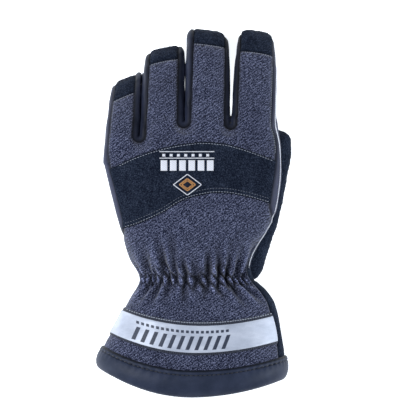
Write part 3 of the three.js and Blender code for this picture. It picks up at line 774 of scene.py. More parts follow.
skin_points, skin_faces = glove_skin()
wrist_zone = (np.abs(skin_points[:, 1]) < 20) & (skin_points[:, 2] > 38)
skin_points, skin_triangles = refined(skin_points, skin_faces, wrist_zone)
skin_normals = point_normals(skin_points, skin_triangles)
skin_fields = seam_fields(skin_points)
skin = np.hstack([skin_points, skin_normals])
# Outer points and faces of each finished piece, for stitches to be laid on.
outer = {}


def surface_relief(p):
    """Broad hollows and small ones, in millimetres."""
    return 0.3 * unevenness(p, 27, 1) + 0.1 * unevenness(p, 9, 2)


def place_and_normal(data):
    return data[:, :3], unit(data[:, 3:])


def panel(name, edge_of, finishes, nodes, slot, folded=False, lift_of=None, thickness=wall,
          nap=0.0, seam_shade=1.1):
    """A panel of the glove: the skin where edge_of, the distance from the panel's seams, is
    above nought, rolled in at the seams or lifted where it lies on others, with its wall."""
    above_hem = skin_fields["ring"] + cuff_length - 3
    data, triangles = clipped(skin, skin_triangles, np.minimum(edge_of(skin_fields), above_hem))
    data, triangles = largest_part(data, triangles)
    p, n = place_and_normal(data)
    f = seam_fields(p)
    edge = edge_of(f)
    out = -surface_relief(p) + nap * unevenness(p, 3.6, 7)
    # Painted shade along the seams, seam_shade millimetres wide.
    crease = flat_shade + 0.6 * np.exp(-((edge / seam_shade) ** 2))
    if folded:
        sink, pleats = gathers(p, f["ring"], f["across"])
        off_seam = smoothstep(0, 5, np.minimum(edge, f["panel"]))
        out -= sink * off_seam
        # Painted shade in the hollows of the gathers and folds, painted highlight on the crests of the
        # pleats.
        crease += 1.3 * pleats * off_seam + np.clip((sink - gather_depth * pleats) / 11, -0.2, 0.4)
    if lift_of:
        out += lift_of(edge)
    else:
        out -= seam_dip(edge)
    place = in_frame(p + n * out[:, None])
    place[:, 2] = np.maximum(place[:, 2], 0.05)
    outer[name] = (place, triangles)
    finished(name, place, triangles, finishes, nodes, np.clip(crease, 0, 1), thickness)


def body_point(turn, s, offset):
    """A point of hand or cuff at a share of the way round, right to left over the back."""
    centre, half = between("left", "right", s)
    middle, height = between("low", "high", s)
    power = np.where(turn < 0.5, back_power, palm_power)
    angle = 2 * np.pi * turn
    across = signed_power(np.cos(angle), 2 / power)
    up = signed_power(np.sin(angle), 2 / power)
    x = centre + (half + offset) * across
    z = middle + (height + offset) * up
    z = np.maximum(z, np.maximum(binding_thickness - offset, 0.04))
    return np.stack([x, s + ring_rise(across, s), z], -1)


def around_ring(columns, s):
    """Shares of the way round a ring that are evenly spaced along it."""
    fine = np.linspace(0, 1, 4001)
    length = way_along(body_point(fine, np.full_like(fine, s), 0))
    return np.interp(np.linspace(0, length[-1], columns + 1)[:-1], length, fine)


def hem_binding():
    """Leather folded round the hem, from a tucked edge outside to a cut edge inside."""
    top = binding_top
    inside = -wall - binding_thickness
    edge = binding_turn_in - cuff_length
    # The binding's section: place along the cuff, and offset out of the cuff's surface.
    loop = [
        (top - 0.2, 0.1), (top + 0.35, 0.7), (top + 0.3, 1.5), (top - 0.5, 2.05),
        (top - 1.8, 2.35), (top - 3.1, 2.3), (top - hem_row, 1.85), (top - 4.5, 2.3),
        (top - 6.0, 2.75), (top - 9.5, 3.0), (top - 13.5, 3.0), (top - 17.0, 2.75),
        (top - 19.6, 2.3), (top - 21.2, 1.2), (top - 21.9, -0.4), (top - 22.0, -1.8),
        (top - 21.6, -3.4), (top - 20.4, -4.6), (top - 18.5, inside - 0.1), (top - 15.0, inside - 0.2),
        (edge + 1.2, inside), (edge + 0.3, inside + 0.2), (edge, inside + 0.9), (edge + 0.2, -wall - 0.15),
        (edge - 3.0, -wall - 0.1), (top - 18.9, -wall - 0.1), (top - 19.4, -1.5), (top - 18.9, 0.15),
        (top - 12.0, 0.15), (top - 5.0, 0.15),
    ]
    columns = 420
    turns = around_ring(columns, -cuff_length + 8)
    rows = []
    for s, offset in loop:
        outside = smoothstep(0.3, 1.6, offset)
        ripple = 0.3 * np.sin(2 * np.pi * 61 * turns + 0.5 * np.sin(17 * turns)) * outside
        near_row = np.exp(-((s - top + hem_row) / 2.6) ** 2)
        sag = 0.5 * np.sin(2 * np.pi * 3 * turns + 1) * np.sin(2 * np.pi * 5 * turns) * outside
        rows.append(body_point(turns, np.full(columns, s), offset + ripple * near_row + 0.4 * sag))
    points = in_frame(np.concatenate(rows))
    # Painted shade along the binding's upper edge, where it meets the cloth, and in the sunken row of
    # stitches.
    dark = []
    for s, offset in loop:
        at_edge = abs(s - top) < 0.6
        at_row = abs(s - top + hem_row) < 0.1 and offset > 0
        dark.append(0.9 if at_edge else 0.7 if at_row else 0.0)
    crease = flat_shade + 0.7 * np.repeat(dark, columns)
    a = np.arange(columns)
    b = (a + 1) % columns
    faces = []
    for k in range(len(loop)):
        here, there = k * columns, ((k + 1) % len(loop)) * columns
        faces.append(np.stack([here + a, here + b, there + b, there + a], 1))
    faces = np.concatenate(faces)
    outer["hem_leather"] = (points, faces)
    finished("hem_leather", points, faces, [binding], ["hem_binding"], crease)


def trim(name, edge_of, finish, node, slot, lift, thickness):
    """A strip laid on the cuff, with its edges turned down."""

    def lift_of(edge):
        return lift - thickness * 0.5 * np.exp(-edge / 0.35)

    panel(name, edge_of, [finish], [node], slot, lift_of=lift_of, thickness=thickness)


def combined(names):
    """A tree for rays over the outer faces of several pieces."""
    points, faces, first = [], [], 0
    for name in names:
        place, corner = outer[name]
        points.append(place)
        faces += (corner + first).tolist()
        first += len(place)
    return BVHTree.FromPolygons(np.concatenate(points).tolist(), faces)


def on_surface(tree, x, y, below=False):
    """Where a vertical ray first meets the pieces, and the surface's normal there."""
    start, way = Vector((x, y, 200)), Vector((0, 0, -1))
    if below:
        start, way = Vector((x, y, -20)), Vector((0, 0, 1))
    hit, normal, _, _ = tree.ray_cast(start, way)
    if hit is None:
        return None, None
    if normal.dot(way) > 0:
        normal = -normal
    return np.array(hit), np.array(normal)


def spindle(rings=3, sides=6):
    """A unit stitch along X: rings of a rounded spindle between two ends."""
    points = [(-1.0, 0.0, 0.0)]
    for k in range(rings):
        along = -0.72 + 1.44 * k / (rings - 1)
        wide = 0.78 if k in (0, rings - 1) else 1.0
        for j in range(sides):
            angle = 2 * math.pi * j / sides
            points.append((along, wide * math.cos(angle), wide * math.sin(angle)))
    points.append((1.0, 0.0, 0.0))
    faces = []
    for j in range(sides):
        a, b = 1 + j, 1 + (j + 1) % sides
        faces.append((0, b, a))
        for k in range(rings - 1):
            faces.append((a + k * sides, b + k * sides, b + (k + 1) * sides))
            faces.append((a + k * sides, b + (k + 1) * sides, a + (k + 1) * sides))
        last = (rings - 1) * sides
        faces.append((a + last, b + last, len(points) - 1))
    return np.array(points), np.array(faces)


spindle_points, spindle_faces = spindle()


def stitches(name, lines, tree, pitch, length, radius, finish, sunk=0.25, below=False):
    """Stitches along lines of plan points in the frame, each a small spindle on the pieces."""
    points, faces = [], []
    for line in lines:
        line = np.array(line)
        way = way_along(line)
        middles = np.arange(pitch / 2, way[-1], pitch)
        for at in middles + rng.uniform(-0.06, 0.06, len(middles)) * pitch:
            ends = []
            for t in (at - length / 2, at, at + length / 2):
                x, y = (np.interp(t, way, line[:, k]) for k in range(2))
                ends.append(on_surface(tree, x, y, below))
            if any(e[0] is None for e in ends):
                continue
            along = ends[2][0] - ends[0][0]
            reach = np.linalg.norm(along)
            if reach > 2.2 * length or reach < 1e-6:
                continue
            along /= reach
            up = ends[1][1] - along * (ends[1][1] @ along)
            up /= np.linalg.norm(up)
            aside = np.cross(up, along)
            frame_of = np.stack([along * length / 2, aside * radius, up * radius * 0.8])
            middle = (ends[0][0] + ends[2][0]) / 2
            middle = middle + up * ((ends[1][0] - middle) @ up * 0.5 + radius * (0.8 - sunk))
            faces.append(spindle_faces + len(points) * len(spindle_points))
            points.append(middle + spindle_points @ frame_of)
    finished(name, np.concatenate(points), np.concatenate(faces), [finish], angle=80)


def patch(corners, tree, lift, crown, across=6, along=6):
    """A closed patch laid on the pieces inside four plan corners, crowned over its middle."""
    u, v = np.meshgrid(np.linspace(0, 1, across + 1), np.linspace(0, 1, along + 1), indexing="ij")
    c = np.array(corners)
    spots = (
        c[0] * ((1 - u) * (1 - v))[..., None] + c[1] * (u * (1 - v))[..., None]
        + c[2] * (u * v)[..., None] + c[3] * ((1 - u) * v)[..., None]
    )
    top, bottom = np.zeros(u.shape + (3,)), np.zeros(u.shape + (3,))
    for i in range(across + 1):
        for j in range(along + 1):
            hit, normal = on_surface(tree, *spots[i, j])
            if hit is None:
                return None
            full = (1 - (2 * u[i, j] - 1) ** 6) * (1 - (2 * v[i, j] - 1) ** 6)
            top[i, j] = hit + normal * (lift * 0.35 + (lift * 0.65 + crown) * full)
            bottom[i, j] = hit - normal * 0.15
    points = np.concatenate([top.reshape(-1, 3), bottom.reshape(-1, 3)])
    faces = []
    row = along + 1
    under = (across + 1) * row
    for i in range(across):
        for j in range(along):
            a, b, d, e = i * row + j, (i + 1) * row + j, (i + 1) * row + j + 1, i * row + j + 1
            faces.append((a, b, d, e))
            faces.append((under + e, under + d, under + b, under + a))
    rim = [i * row for i in range(across + 1)] + [across * row + j for j in range(1, row)]
    rim += [i * row + along for i in range(across - 1, -1, -1)] + list(range(along - 1, 0, -1))
    for a, b in zip(rim, rim[1:] + rim[:1]):
        faces.append((b, a, under + a, under + b))
    return points, np.array(faces)


def patches(name, corner_sets, tree, lift, crown, finish, slot, **shape):
    """Patches of one row or motif as one piece."""
    points, faces, first = [], [], 0
    for corners in corner_sets:
        made = patch(corners, tree, lift, crown, **shape)
        if made is None:
            continue
        points.append(made[0])
        faces.append(made[1] + first)
        first += len(made[0])
    finished(name, np.concatenate(points), np.concatenate(faces), [finish], angle=60)


class Finish:
    """A material being put together: its nodes, its shader and the pieces' own coordinates."""

    def __init__(self, name, roughness, sheen=0.0, metallic=0.0, specular=0.5):
        self.material = bpy.data.materials.new(name)
        self.material.use_nodes = True
        self.tree = self.material.node_tree
        self.shader = self.tree.nodes["Principled BSDF"]
        values = {
            "Roughness": roughness, "Sheen Weight": sheen, "Sheen Roughness": 0.5,
            "Metallic": metallic, "Specular IOR Level": specular,
        }
        for key, value in values.items():
            self.shader.inputs[key].default_value = value
        self.place = self.add("ShaderNodeTexCoord").outputs["Object"]

    def add(self, kind, **values):
        node = self.tree.nodes.new(kind)
        for key, value in values.items():
            setattr(node, key, value)
        return node

    def join(self, source, target):
        self.tree.links.new(source, target)

    def mapped(self, turn=(0, 0, 0), scale=(1, 1, 1)):
        node = self.add("ShaderNodeMapping")
        node.inputs["Rotation"].default_value = [math.radians(a) for a in turn]
        node.inputs["Scale"].default_value = scale
        self.join(self.place, node.inputs["Vector"])
        return node.outputs["Vector"]

    def noise(self, size, detail=2.0, rough=0.55, place=None):
        """Noise whose features are about size millimetres across."""
        node = self.add("ShaderNodeTexNoise")
        node.inputs["Scale"].default_value = 1000 / size
        node.inputs["Detail"].default_value = detail
        node.inputs["Roughness"].default_value = rough
        self.join(place or self.place, node.inputs["Vector"])
        return node.outputs["Fac"]

    def cells(self, size):
        node = self.add("ShaderNodeTexVoronoi", feature="F1")
        node.inputs["Scale"].default_value = 1000 / size
        self.join(self.place, node.inputs["Vector"])
        return node.outputs["Distance"]

    def bands(self, size, turn=(0, 0, 0), wander=0.0):
        node = self.add("ShaderNodeTexWave", wave_type="BANDS", bands_direction="X")
        node.inputs["Scale"].default_value = 1000 / size / 20 * math.pi
        node.inputs["Distortion"].default_value = wander
        node.inputs["Detail"].default_value = 1.0
        self.join(self.mapped(turn), node.inputs["Vector"])
        return node.outputs["Fac"]

    def ramp(self, source, *stops):
        node = self.add("ShaderNodeValToRGB")
        while len(node.color_ramp.elements) < len(stops):
            node.color_ramp.elements.new(0.5)
        for element, (at, colour) in zip(node.color_ramp.elements, stops):
            element.position = at
            element.color = (*colour, 1)
        self.join(source, node.inputs["Fac"])
        return node.outputs["Color"]

    def maths(self, kind, a, b):
        node = self.add("ShaderNodeMath", operation=kind)
        for value, socket in ((a, node.inputs[0]), (b, node.inputs[1])):
            if isinstance(value, (int, float)):
                socket.default_value = value
            else:
                self.join(value, socket)
        return node.outputs["Value"]

    def mixed(self, colour, other, share):
        """A colour multiplied by another one, by a share."""
        node = self.add("ShaderNodeMix", data_type="RGBA", blend_type="MULTIPLY")
        node.inputs[0].default_value = share
        self.join(colour, node.inputs[6])
        self.join(other, node.inputs[7])
        return node.outputs[2]

    def bump(self, height, distance, strength=1.0):
        """Bump from a height, distance millimetres deep, over any bump already there."""
        node = self.add("ShaderNodeBump")
        node.inputs["Distance"].default_value = distance * MM
        node.inputs["Strength"].default_value = strength
        self.join(height, node.inputs["Height"])
        before = self.shader.inputs["Normal"].links
        if before:
            self.join(before[0].from_socket, node.inputs["Normal"])
        self.join(node.outputs["Normal"], self.shader.inputs["Normal"])

    def with_painted_light(self, colour, darkest=0.3):
        """A colour with painted shade in the folds and along the seams, and a painted highlight on the
        crests of the pleats.
        """
        depth = self.add("ShaderNodeAttribute", attribute_name="crease").outputs["Fac"]
        shade = (darkest, darkest, darkest)
        stops = (0.0, (2.25, 2.25, 2.25)), (flat_shade, (1.0, 1.0, 1.0)), (1.0, shade)
        return self.mixed(colour, self.ramp(depth, *stops), 1.0)

    def done(self, colour, roughness=None):
        self.join(colour, self.shader.inputs["Base Color"])
        if roughness:
            self.join(roughness, self.shader.inputs["Roughness"])
        return self.material

    def spread(self, source, low, high):
        node = self.add("ShaderNodeMapRange")
        node.inputs["To Min"].default_value = low
        node.inputs["To Max"].default_value = high
        self.join(source, node.inputs["Value"])
        return node.outputs["Result"]


def heather_cloth():
    """Blue-grey twill of mixed dark and pale yarns, with a short fuzz."""
    f = Finish("heather_twill_cloth", 0.95, sheen=0.25, specular=0.0)
    flecks = f.noise(0.7, 3.0, 0.7)
    twill = f.bands(1.1, (0, 0, 55), 4.0)
    mix = f.maths("ADD", f.maths("MULTIPLY", flecks, 0.95), f.maths("MULTIPLY", twill, 0.05))
    colour = f.ramp(
        mix, (0.41, (0.001, 0.002, 0.007)), (0.465, (0.005, 0.007, 0.021)),
        (0.525, (0.017, 0.022, 0.050)), (0.59, (0.180, 0.196, 0.300)),
    )
    wear = f.ramp(f.noise(34, 3.0), (0.3, (0.84, 0.84, 0.86)), (0.7, (1.1, 1.1, 1.1)))
    f.bump(flecks, 0.3, 0.5)
    f.bump(twill, 0.1, 0.4)
    return f.done(f.with_painted_light(f.mixed(colour, wear, 1.0), 0.25))


def suede():
    """Black suede: a short nap with brushed patches."""
    f = Finish("black_suede", 0.95, sheen=0.05, specular=0.0)
    nap = f.noise(1.0, 3.0, 0.75)
    brushed = f.noise(9, 4.0, 0.6, f.mapped((0, 0, 20), (1, 0.5, 1)))
    colour = f.ramp(
        f.maths("ADD", f.maths("MULTIPLY", nap, 0.8), f.maths("MULTIPLY", brushed, 0.2)),
        (0.38, (0.002, 0.003, 0.008)), (0.5, (0.0085, 0.0125, 0.0235)), (0.64, (0.036, 0.046, 0.073)),
    )
    f.bump(nap, 0.28, 0.5)
    f.bump(brushed, 0.35, 0.3)
    return f.done(f.with_painted_light(colour, 0.4))


def smooth_leather(name, dark, pale, grain=0.12):
    """Smooth leather with a fine pebble, soft creases and an uneven shine."""
    f = Finish(name, 0.5, specular=0.15)
    pebble = f.cells(1.1)
    creases = f.noise(6, 4.0, 0.6)
    colour = f.ramp(f.noise(16, 4.0), (0.3, dark), (0.7, pale))
    edges = f.ramp(pebble, (0.0, (1.06, 1.06, 1.06)), (0.75, (0.86, 0.86, 0.87)))
    f.bump(pebble, grain, 0.5)
    f.bump(creases, 0.6, 0.35)
    shine = f.spread(creases, 0.4, 0.62)
    return f.done(f.with_painted_light(f.mixed(colour, edges, 0.7), 0.12), shine)


def woven_backing():
    """Dark narrow-woven strip with ribs across it."""
    f = Finish("backing_weave", 0.8, sheen=0.1, specular=0.3)
    ribs = f.bands(0.8, (0, 0, 0), 0.6)
    colour = f.ramp(ribs, (0.0, (0.010, 0.012, 0.020)), (1.0, (0.030, 0.035, 0.056)))
    wear = f.ramp(f.noise(5, 3), (0.3, (0.8, 0.8, 0.8)), (0.7, (1.1, 1.1, 1.1)))
    f.bump(ribs, 0.15, 0.6)
    return f.done(f.mixed(colour, wear, 1.0))


def reflective_tape():
    """Silver tape of fine glass beads on cloth, slightly scuffed."""
    f = Finish("reflective_beads", 0.5, metallic=0.1, specular=0.4)
    beads = f.cells(0.55)
    scuffs = f.noise(14, 5.0, 0.65, f.mapped((0, 0, 8), (0.45, 1.5, 1)))
    weave = f.bands(1.0, (0, 0, 90), 0.4)
    colour = f.ramp(
        scuffs, (0.25, (0.33, 0.36, 0.43)), (0.5, (0.44, 0.475, 0.56)), (0.75, (0.56, 0.59, 0.67))
    )
    dots = f.ramp(beads, (0.0, (1.05, 1.05, 1.05)), (0.7, (0.9, 0.9, 0.92)))
    f.bump(beads, 0.07, 0.4)
    f.bump(weave, 0.05, 0.35)
    return f.done(f.mixed(colour, dots, 0.8), f.spread(scuffs, 0.34, 0.52))


def thread(name, dark, pale, twist=0.35):
    """Sewing thread with a fine slanted ply."""
    f = Finish(name, 0.65, sheen=0.1)
    ply = f.bands(twist, (0, 0, 35), 0.5)
    f.bump(ply, 0.08, 0.5)
    return f.done(f.ramp(ply, (0.0, dark), (1.0, pale)))


def knit_lining():
    """Grey knit on the inside of every wall."""
    f = Finish("charcoal_lining", 0.95, sheen=0.15, specular=0.2)
    loops = f.cells(1.6)
    f.bump(loops, 0.3, 0.6)
    return f.done(f.ramp(loops, (0.0, (0.045, 0.047, 0.055)), (0.8, (0.012, 0.013, 0.017))))


def printed_ink():
    """Dark print, thin in places."""
    f = Finish("printed_ink", 0.55, specular=0.4)
    return f.done(f.ramp(f.noise(1.4, 3), (0.3, (0.018, 0.024, 0.045)), (0.7, (0.034, 0.042, 0.07))))


cloth = heather_cloth()
black_suede = suede()
# The leather between the fingers is darker than the side strips' leather: painted shade in the slots.
wall_leather = smooth_leather("wall_leather", (0.011, 0.014, 0.027), (0.024, 0.029, 0.054))
side_leather = smooth_leather("side_leather", (0.020, 0.024, 0.052), (0.038, 0.044, 0.085))
binding = smooth_leather("binding_leather", (0.014, 0.020, 0.039), (0.029, 0.037, 0.067), 0.08)
backing = woven_backing()
silver = reflective_tape()
pale_thread = thread("pale_thread", (0.16, 0.18, 0.24), (0.38, 0.41, 0.48))
dim_thread = thread("dim_thread", (0.05, 0.06, 0.085), (0.12, 0.135, 0.18))
dark_thread = thread("dark_thread", (0.004, 0.005, 0.009), (0.016, 0.018, 0.026))
white_thread = thread("white_thread", (0.46, 0.47, 0.53), (0.80, 0.81, 0.87), 0.5)
amber_thread = thread("amber_thread", (0.28, 0.12, 0.035), (0.52, 0.25, 0.07), 0.5)
lining = knit_lining()
ink = printed_ink()


def lined(finish):
    """The finish outside and the lining inside."""
    return [finish, lining]


def finger_end(i, seam, side):
    """Finger i beyond one of its cross seams, on the back for side 1 or below for side -1."""

    def edge(f):
        return least(f["panel"], side * f["up"], np.where(f["lane"] == i, f[seam], -9.0))

    return edge


def back_edge(f):
    return least(f["panel"], f["up"], -f["cap"])


def palm_edge(f):
    return least(f["panel"], -f["up"], -f["front"], f["thumb"] + wall, f["ring"])


def cuff_palm_edge(f):
    return least(f["panel"], -f["up"], -f["ring"])


def band_edge(f):
    return least(f["band"], f["panel"] + 0.6, f["up"])


def backing_edge(f):
    low = backing_from_hem - cuff_length + 1.6
    return least(f["ring"] - low, backing_top - f["ring"], f["up"] - 0.3)


def strip_edge(f):
    return least(f["ring"] - strip_bottom, strip_bottom + strip_height - f["ring"], f["up"] - 0.6)


panel("cloth_back", back_edge, lined(cloth), ["back_panel", "knuckle_panel"], "cloth", folded=True)
for i, finger in enumerate(fingers):
    name = finger.name
    panel(f"cap_{name}", finger_end(i, "cap", 1), lined(black_suede), [f"tip_cap_{name}"],
          "suede", nap=0.22)
    panel(f"front_{name}", finger_end(i, "front", -1), lined(black_suede),
          [f"finger_front_{name}"], "suede")
for slot in slots:
    panel(f"wall_{slot.name}", lambda f, name=slot.name: -f[name], lined(wall_leather),
          [f"fourchette_{slot.name}"], "smooth_leather",
          lift_of=lambda edge: 0.45 - np.exp(-((edge / 1.1) ** 2)), seam_shade=1.7)
for side in ("little", "index"):
    panel(f"side_{side}", lambda f, side=side: -f[f"side_{side}"], lined(side_leather),
          [f"side_strip_{side}"], "smooth_leather", seam_shade=1.9)
panel("palm", palm_edge, lined(black_suede), ["palm_panel"], "suede")
panel("palm_of_cuff", cuff_palm_edge, lined(black_suede), ["cuff_palm"], "suede")
panel("band_over_knuckles", band_edge, [black_suede], ["knuckle_band"], "suede", folded=True,
      lift_of=lambda edge: 1.5 - np.exp(-edge / 0.9), thickness=1.3)
trim("strip_backing", backing_edge, backing, "trim_backing", "backing_tape", 0.8, 0.6)
trim("silver_strip", strip_edge, silver, "reflective_strip", "reflective_tape", 1.45, 0.55)
hem_binding()


def thumb():
    """The thumb's own skin, outside the hand, tucked under the edge of the palm."""
    xs = np.arange(8, 88, cell_x)
    ys = np.arange(-5, 132, cell_y)
    zs = np.arange(-3, 46, cell_z)
    x, y, z = np.meshgrid(xs, ys, zs, indexing="ij")
    points, faces = surface_nets(thumb_field(x, y, z), xs, ys, zs)
    points = relaxed(points, faces, 3)
    triangles = np.concatenate([faces[:, :3], faces[:, [0, 2, 3]]])
    n = point_normals(points, triangles)
    px, py, pz = points.T
    body_side = body_field(px, py, pz)
    finger_side = finger_field(3, px, np.maximum(py, finger_root + 0.01), pz)
    clear = np.minimum(body_side, np.where(py > finger_root - 4, finger_side, 9.0))
    data, triangles = clipped(np.hstack([points, n]), triangles, clear + 0.8)
    p, n = place_and_normal(data)
    out = -surface_relief(p) - 0.25 * unevenness(p, 14, 5) + 0.22 * unevenness(p, 3.6, 7)
    place = in_frame(p + n * out[:, None])
    place[:, 2] = np.maximum(place[:, 2], 0.02)
    outer["thumb_of_suede"] = (place, triangles)
    shade = np.full(len(place), flat_shade)
    finished("thumb_of_suede", place, triangles, lined(black_suede), ["thumb_stall"], shade, wall)


thumb()

# Stitches, in plan over the pieces that they hold.
top_names = ["cloth_back", "band_over_knuckles", "strip_backing", "silver_strip", "hem_leather"]
top_names += [f"cap_{finger.name}" for finger in fingers]
over = combined(top_names)


def plan(xs, ys):
    return np.stack([np.asarray(xs) + wrist_x, np.asarray(ys) + wrist_y], 1)


def band_line(curve, shift):
    xs = np.linspace(-62, 68, 90)
    ys = curve(xs) + shift
    inside = (xs > edge_left(ys) + inset_left(ys) + 1) & (xs < edge_right(ys) - inset_right(ys) - 1)
    return plan(xs[inside], ys[inside])


def cap_stitch_line(i, shift):
    finger = fingers[i]
    centre, half = finger_centre(i, 1 - finger.cap), finger.width / 2 - 4.2
    xs = np.linspace(centre - half, centre + half, 24)
    zero = cap_lines[i](xs, np.zeros_like(xs))
    return plan(xs, -zero + shift)


def ring_line(s, left, right):
    """A line across the cuff along one of its rings, between two shares of its half width."""
    across = np.linspace(left, right, 120)
    s = np.full_like(across, s)
    centre, half = between("left", "right", s)
    return plan(centre + half * across, s + ring_rise(across, s))


cap_rows = [cap_stitch_line(i, -1.2) for i in range(4)]
stitches("cap_stitches", cap_rows, over, 1.9, 1.6, 0.24, pale_thread)
edge_rows = [band_line(band_top, -1.3), band_line(band_bottom, 1.2)]
stitches("band_stitches", edge_rows, over, 2.3, 1.6, 0.26, pale_thread)
inner_row = [band_line(band_bottom, 4.0)]
stitches("band_inner_stitches", inner_row, over, 2.3, 1.6, 0.24, dim_thread)
strip_stitch = [ring_line(backing_top - 0.9, -0.97, 0.96)]
stitches("backing_stitches", strip_stitch, over, 2.1, 1.9, 0.4, pale_thread)
hem_stitch = [ring_line(binding_top - hem_row, -0.985, 0.985)]
stitches("hem_stitches", hem_stitch, over, 3.7, 2.5, 0.5, dark_thread)


def cord(name, path, radius, finish, sides=8):
    """A thin round cord along a path of points in the frame."""
    path = np.array(path)
    way = unit(np.gradient(path, axis=0))
    aside = unit(np.cross(way, (0.0, 0.0, 1.0)))
    up = np.cross(aside, way)
    angles = 2 * np.pi * np.arange(sides) / sides
    from_end = np.minimum(np.arange(len(path)), np.arange(len(path))[::-1])
    taper = np.minimum(1.0, 0.15 + from_end / 4)
    cos, sin = np.cos(angles)[None, :, None], np.sin(angles)[None, :, None]
    ring = aside[:, None] * cos + up[:, None] * sin
    points = (path[:, None] + radius * taper[:, None, None] * ring).reshape(-1, 3)
    faces = []
    for k in range(len(path) - 1):
        for j in range(sides):
            a, b = k * sides + j, k * sides + (j + 1) % sides
            faces.append((a, a + sides, b + sides, b))
    faces.append(tuple(range(sides)))
    faces.append(tuple((len(path) - 1) * sides + j for j in reversed(range(sides))))
    finished(name, points, faces, [finish], angle=60)


# Painted highlight: a pale cord along the thumb side of the hand and the index finger, where a bright rim
# of light runs along the edge.
everything = combined(list(outer))
highlight_path = []
for y in np.arange(10, 184, 1.2):
    x = float(edge_right(y)) - 1.1 - 1.2 * float(smoothstep(45, 20, y))
    hit, normal = on_surface(everything, x + wrist_x, y + wrist_y)
    if hit is not None and hit[2] > seam_height(np.array([x]), np.array([y]))[0] - 2:
        highlight_path.append(hit + normal * 0.15)
highlight_path = np.array(highlight_path)
for axis in (0, 2):
    padded = np.pad(highlight_path[:, axis], 5, mode="edge")
    highlight_path[:, axis] = np.convolve(padded, np.ones(11) / 11, mode="valid")
cord("pale_edge", highlight_path, 0.5, white_thread)

ys = np.arange(0.79 * hand_length, finger_root + 0.74 * fingers[-1].length, 2.0)
edge_row = plan(edge_right(ys) - inset_right(ys) - 1.0, ys)
stitches("edge_stitches", [edge_row], over, 1.9, 1.5, 0.24, pale_thread)

# Seams of the palm side, sewn in black.
under = combined(["palm", "palm_of_cuff"] + [f"front_{finger.name}" for finger in fingers])
beside_seam, inside_wall = 1.4, 4
under_rows = [ring_line(-beside_seam, -0.8, 0.62), ring_line(beside_seam, -0.8, 0.62)]
for i, finger in enumerate(fingers):
    centre, half = finger_centre(i, front_root), finger.width / 2
    xs = np.linspace(centre - half + inside_wall, centre + half - inside_wall, 24)
    seam_y = -front_lines[i](xs, np.zeros_like(xs))
    under_rows += [plan(xs, seam_y - beside_seam), plan(xs, seam_y + beside_seam)]
stitches("palm_stitches", under_rows, under, 3.0, 2.2, 0.3, dim_thread, below=True)


def row_of_blocks(place, x, y, pitch, wide, high, count, lean=0.0):
    """Corners of blocks side by side, where place gives the frame's point for x and y."""
    rows = []
    for left in (x + pitch * k for k in range(count)):
        low = [place(left, y), place(left + wide, y)]
        rows.append(low + [place(left + wide + lean, y + high), place(left + lean, y + high)])
    return rows


def as_given(x, y):
    return (x, y)


# Generic embroidery on the band: upright satin bars, a row of short ones between two ruled
# lines, and an amber lozenge in a white outline.
embroidery_x, embroidery_y, lozenge_y = -5.4, 33.5, 22.0
bars = row_of_blocks(as_given, embroidery_x - 22, embroidery_y, 7.6, 5.4, 8.6, 6)
ticks = row_of_blocks(as_given, embroidery_x - 20.6, embroidery_y + 11.6, 6.0, 2.4, 2.2, 7)
patches("satin_bars", bars + ticks, over, 0.35, 0.3, white_thread, "suede")
rules = [
    np.array([(embroidery_x - 23, embroidery_y + up), (embroidery_x + 22, embroidery_y + up)])
    for up in (10.3, 15.6)
]


def lozenge(wide, high):
    return [(embroidery_x - wide, lozenge_y), (embroidery_x, lozenge_y - high),
            (embroidery_x + wide, lozenge_y), (embroidery_x, lozenge_y + high),
            (embroidery_x - wide, lozenge_y)]


stitches("white_embroidery", rules + [lozenge(11.5, 8.6)], over, 0.9, 1.25, 0.42, white_thread)
amber_lines = [lozenge(6.6, 5.0), lozenge(4.6, 3.4)]
stitches("amber_embroidery", amber_lines, over, 0.9, 1.3, 0.6, amber_thread)


def on_ring(x, s):
    """Plan point in the frame at x on a ring of the cuff."""
    centre, half = between("left", "right", s)
    return (x + wrist_x, s + float(ring_rise((x - centre) / half, s)) + wrist_y)


# Generic marks printed on the strip: a row of small blocks over slanted bars.
slanted = row_of_blocks(on_ring, -52, strip_bottom + 2.4, 7.4, 3.2, 11.2, 11, lean=4.5)
blocks = row_of_blocks(on_ring, -48, strip_bottom + 16, 4.1, 2.4, 2.2, 19)
patches("strip_marks", slanted + blocks, over, 0.1, 0.02, ink, "reflective_tape", across=3, along=8)


def lamp(name, place, size, power, colour):
    """A square soft light that looks at the glove."""
    light = bpy.data.lights.new(name, "AREA")
    light.size = size
    light.energy = power
    light.color = colour
    hung = bpy.data.objects.new(name, light)
    hung.location = place
    hung.rotation_euler = (Vector((0, 0, 0.03)) - Vector(place)).to_track_quat("-Z", "Y").to_euler()
    bpy.context.scene.collection.objects.link(hung)


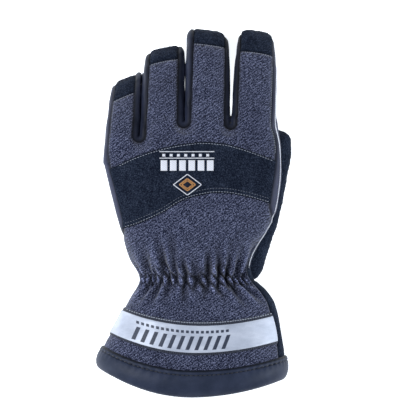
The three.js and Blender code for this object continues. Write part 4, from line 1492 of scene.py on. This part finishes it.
def floor():
    """A wide pale floor that gives off a little light, so that it stays white under the glove."""
    mesh = bpy.data.meshes.new("floor")
    reach = 6.0
    corners = [(-reach, -reach, 0), (reach, -reach, 0), (reach, reach, 0), (-reach, reach, 0)]
    mesh.from_pydata(corners, [], [(0, 1, 2, 3)])
    laid = bpy.data.objects.new("floor", mesh)
    bpy.context.scene.collection.objects.link(laid)
    f = Finish("pale_floor", 0.9, specular=0.1)
    f.shader.inputs["Emission Color"].default_value = (0.92, 0.96, 1, 1)
    f.shader.inputs["Emission Strength"].default_value = 0.9
    paint = f.ramp(f.noise(400), (0.3, (0.93, 0.93, 0.935)), (0.7, (0.95, 0.95, 0.95)))
    mesh.materials.append(f.done(paint))


def camera():
    """The camera straight above, far enough away for hardly any perspective."""
    # The photograph's width and the place of the frame's origin in it, in its pixels.
    picture, origin_x, origin_y = 420, 194.15, 211.5
    pixel = 0.8266 * MM
    distance, level = 5.0, 0.04
    eye = bpy.data.cameras.new("camera")
    held = bpy.data.objects.new("camera", eye)
    held.location = ((picture / 2 - origin_x) * pixel, (origin_y - picture / 2) * pixel, distance)
    eye.lens = eye.sensor_width * (distance - level) / (picture * pixel)
    eye.clip_end = 50
    bpy.context.scene.collection.objects.link(held)
    bpy.context.scene.camera = held


def stage():
    """Pale floor, soft studio lights and the camera."""
    floor()
    world = bpy.data.worlds.new("studio")
    world.use_nodes = True
    world.node_tree.nodes["Background"].inputs["Color"].default_value = (0.82, 0.9, 1.0, 1)
    world.node_tree.nodes["Background"].inputs["Strength"].default_value = 0.3
    bpy.context.scene.world = world
    bpy.context.scene.view_settings.view_transform = "Standard"
    lamp("key", (-1.0, 0.4, 1.15), 0.45, 20, (0.93, 0.96, 1.0))
    lamp("fill", (1.3, -0.1, 0.8), 0.6, 10, (0.88, 0.94, 1.0))
    lamp("low_front", (0.1, -1.4, 0.8), 0.7, 5, (0.9, 0.95, 1.0))
    lamp("left_rim", (-1.5, -0.2, 0.2), 0.5, 9, (0.85, 0.92, 1.0))
    lamp("right_rim", (1.5, 0.1, 0.2), 0.5, 9, (0.85, 0.92, 1.0))
    camera()


stage()
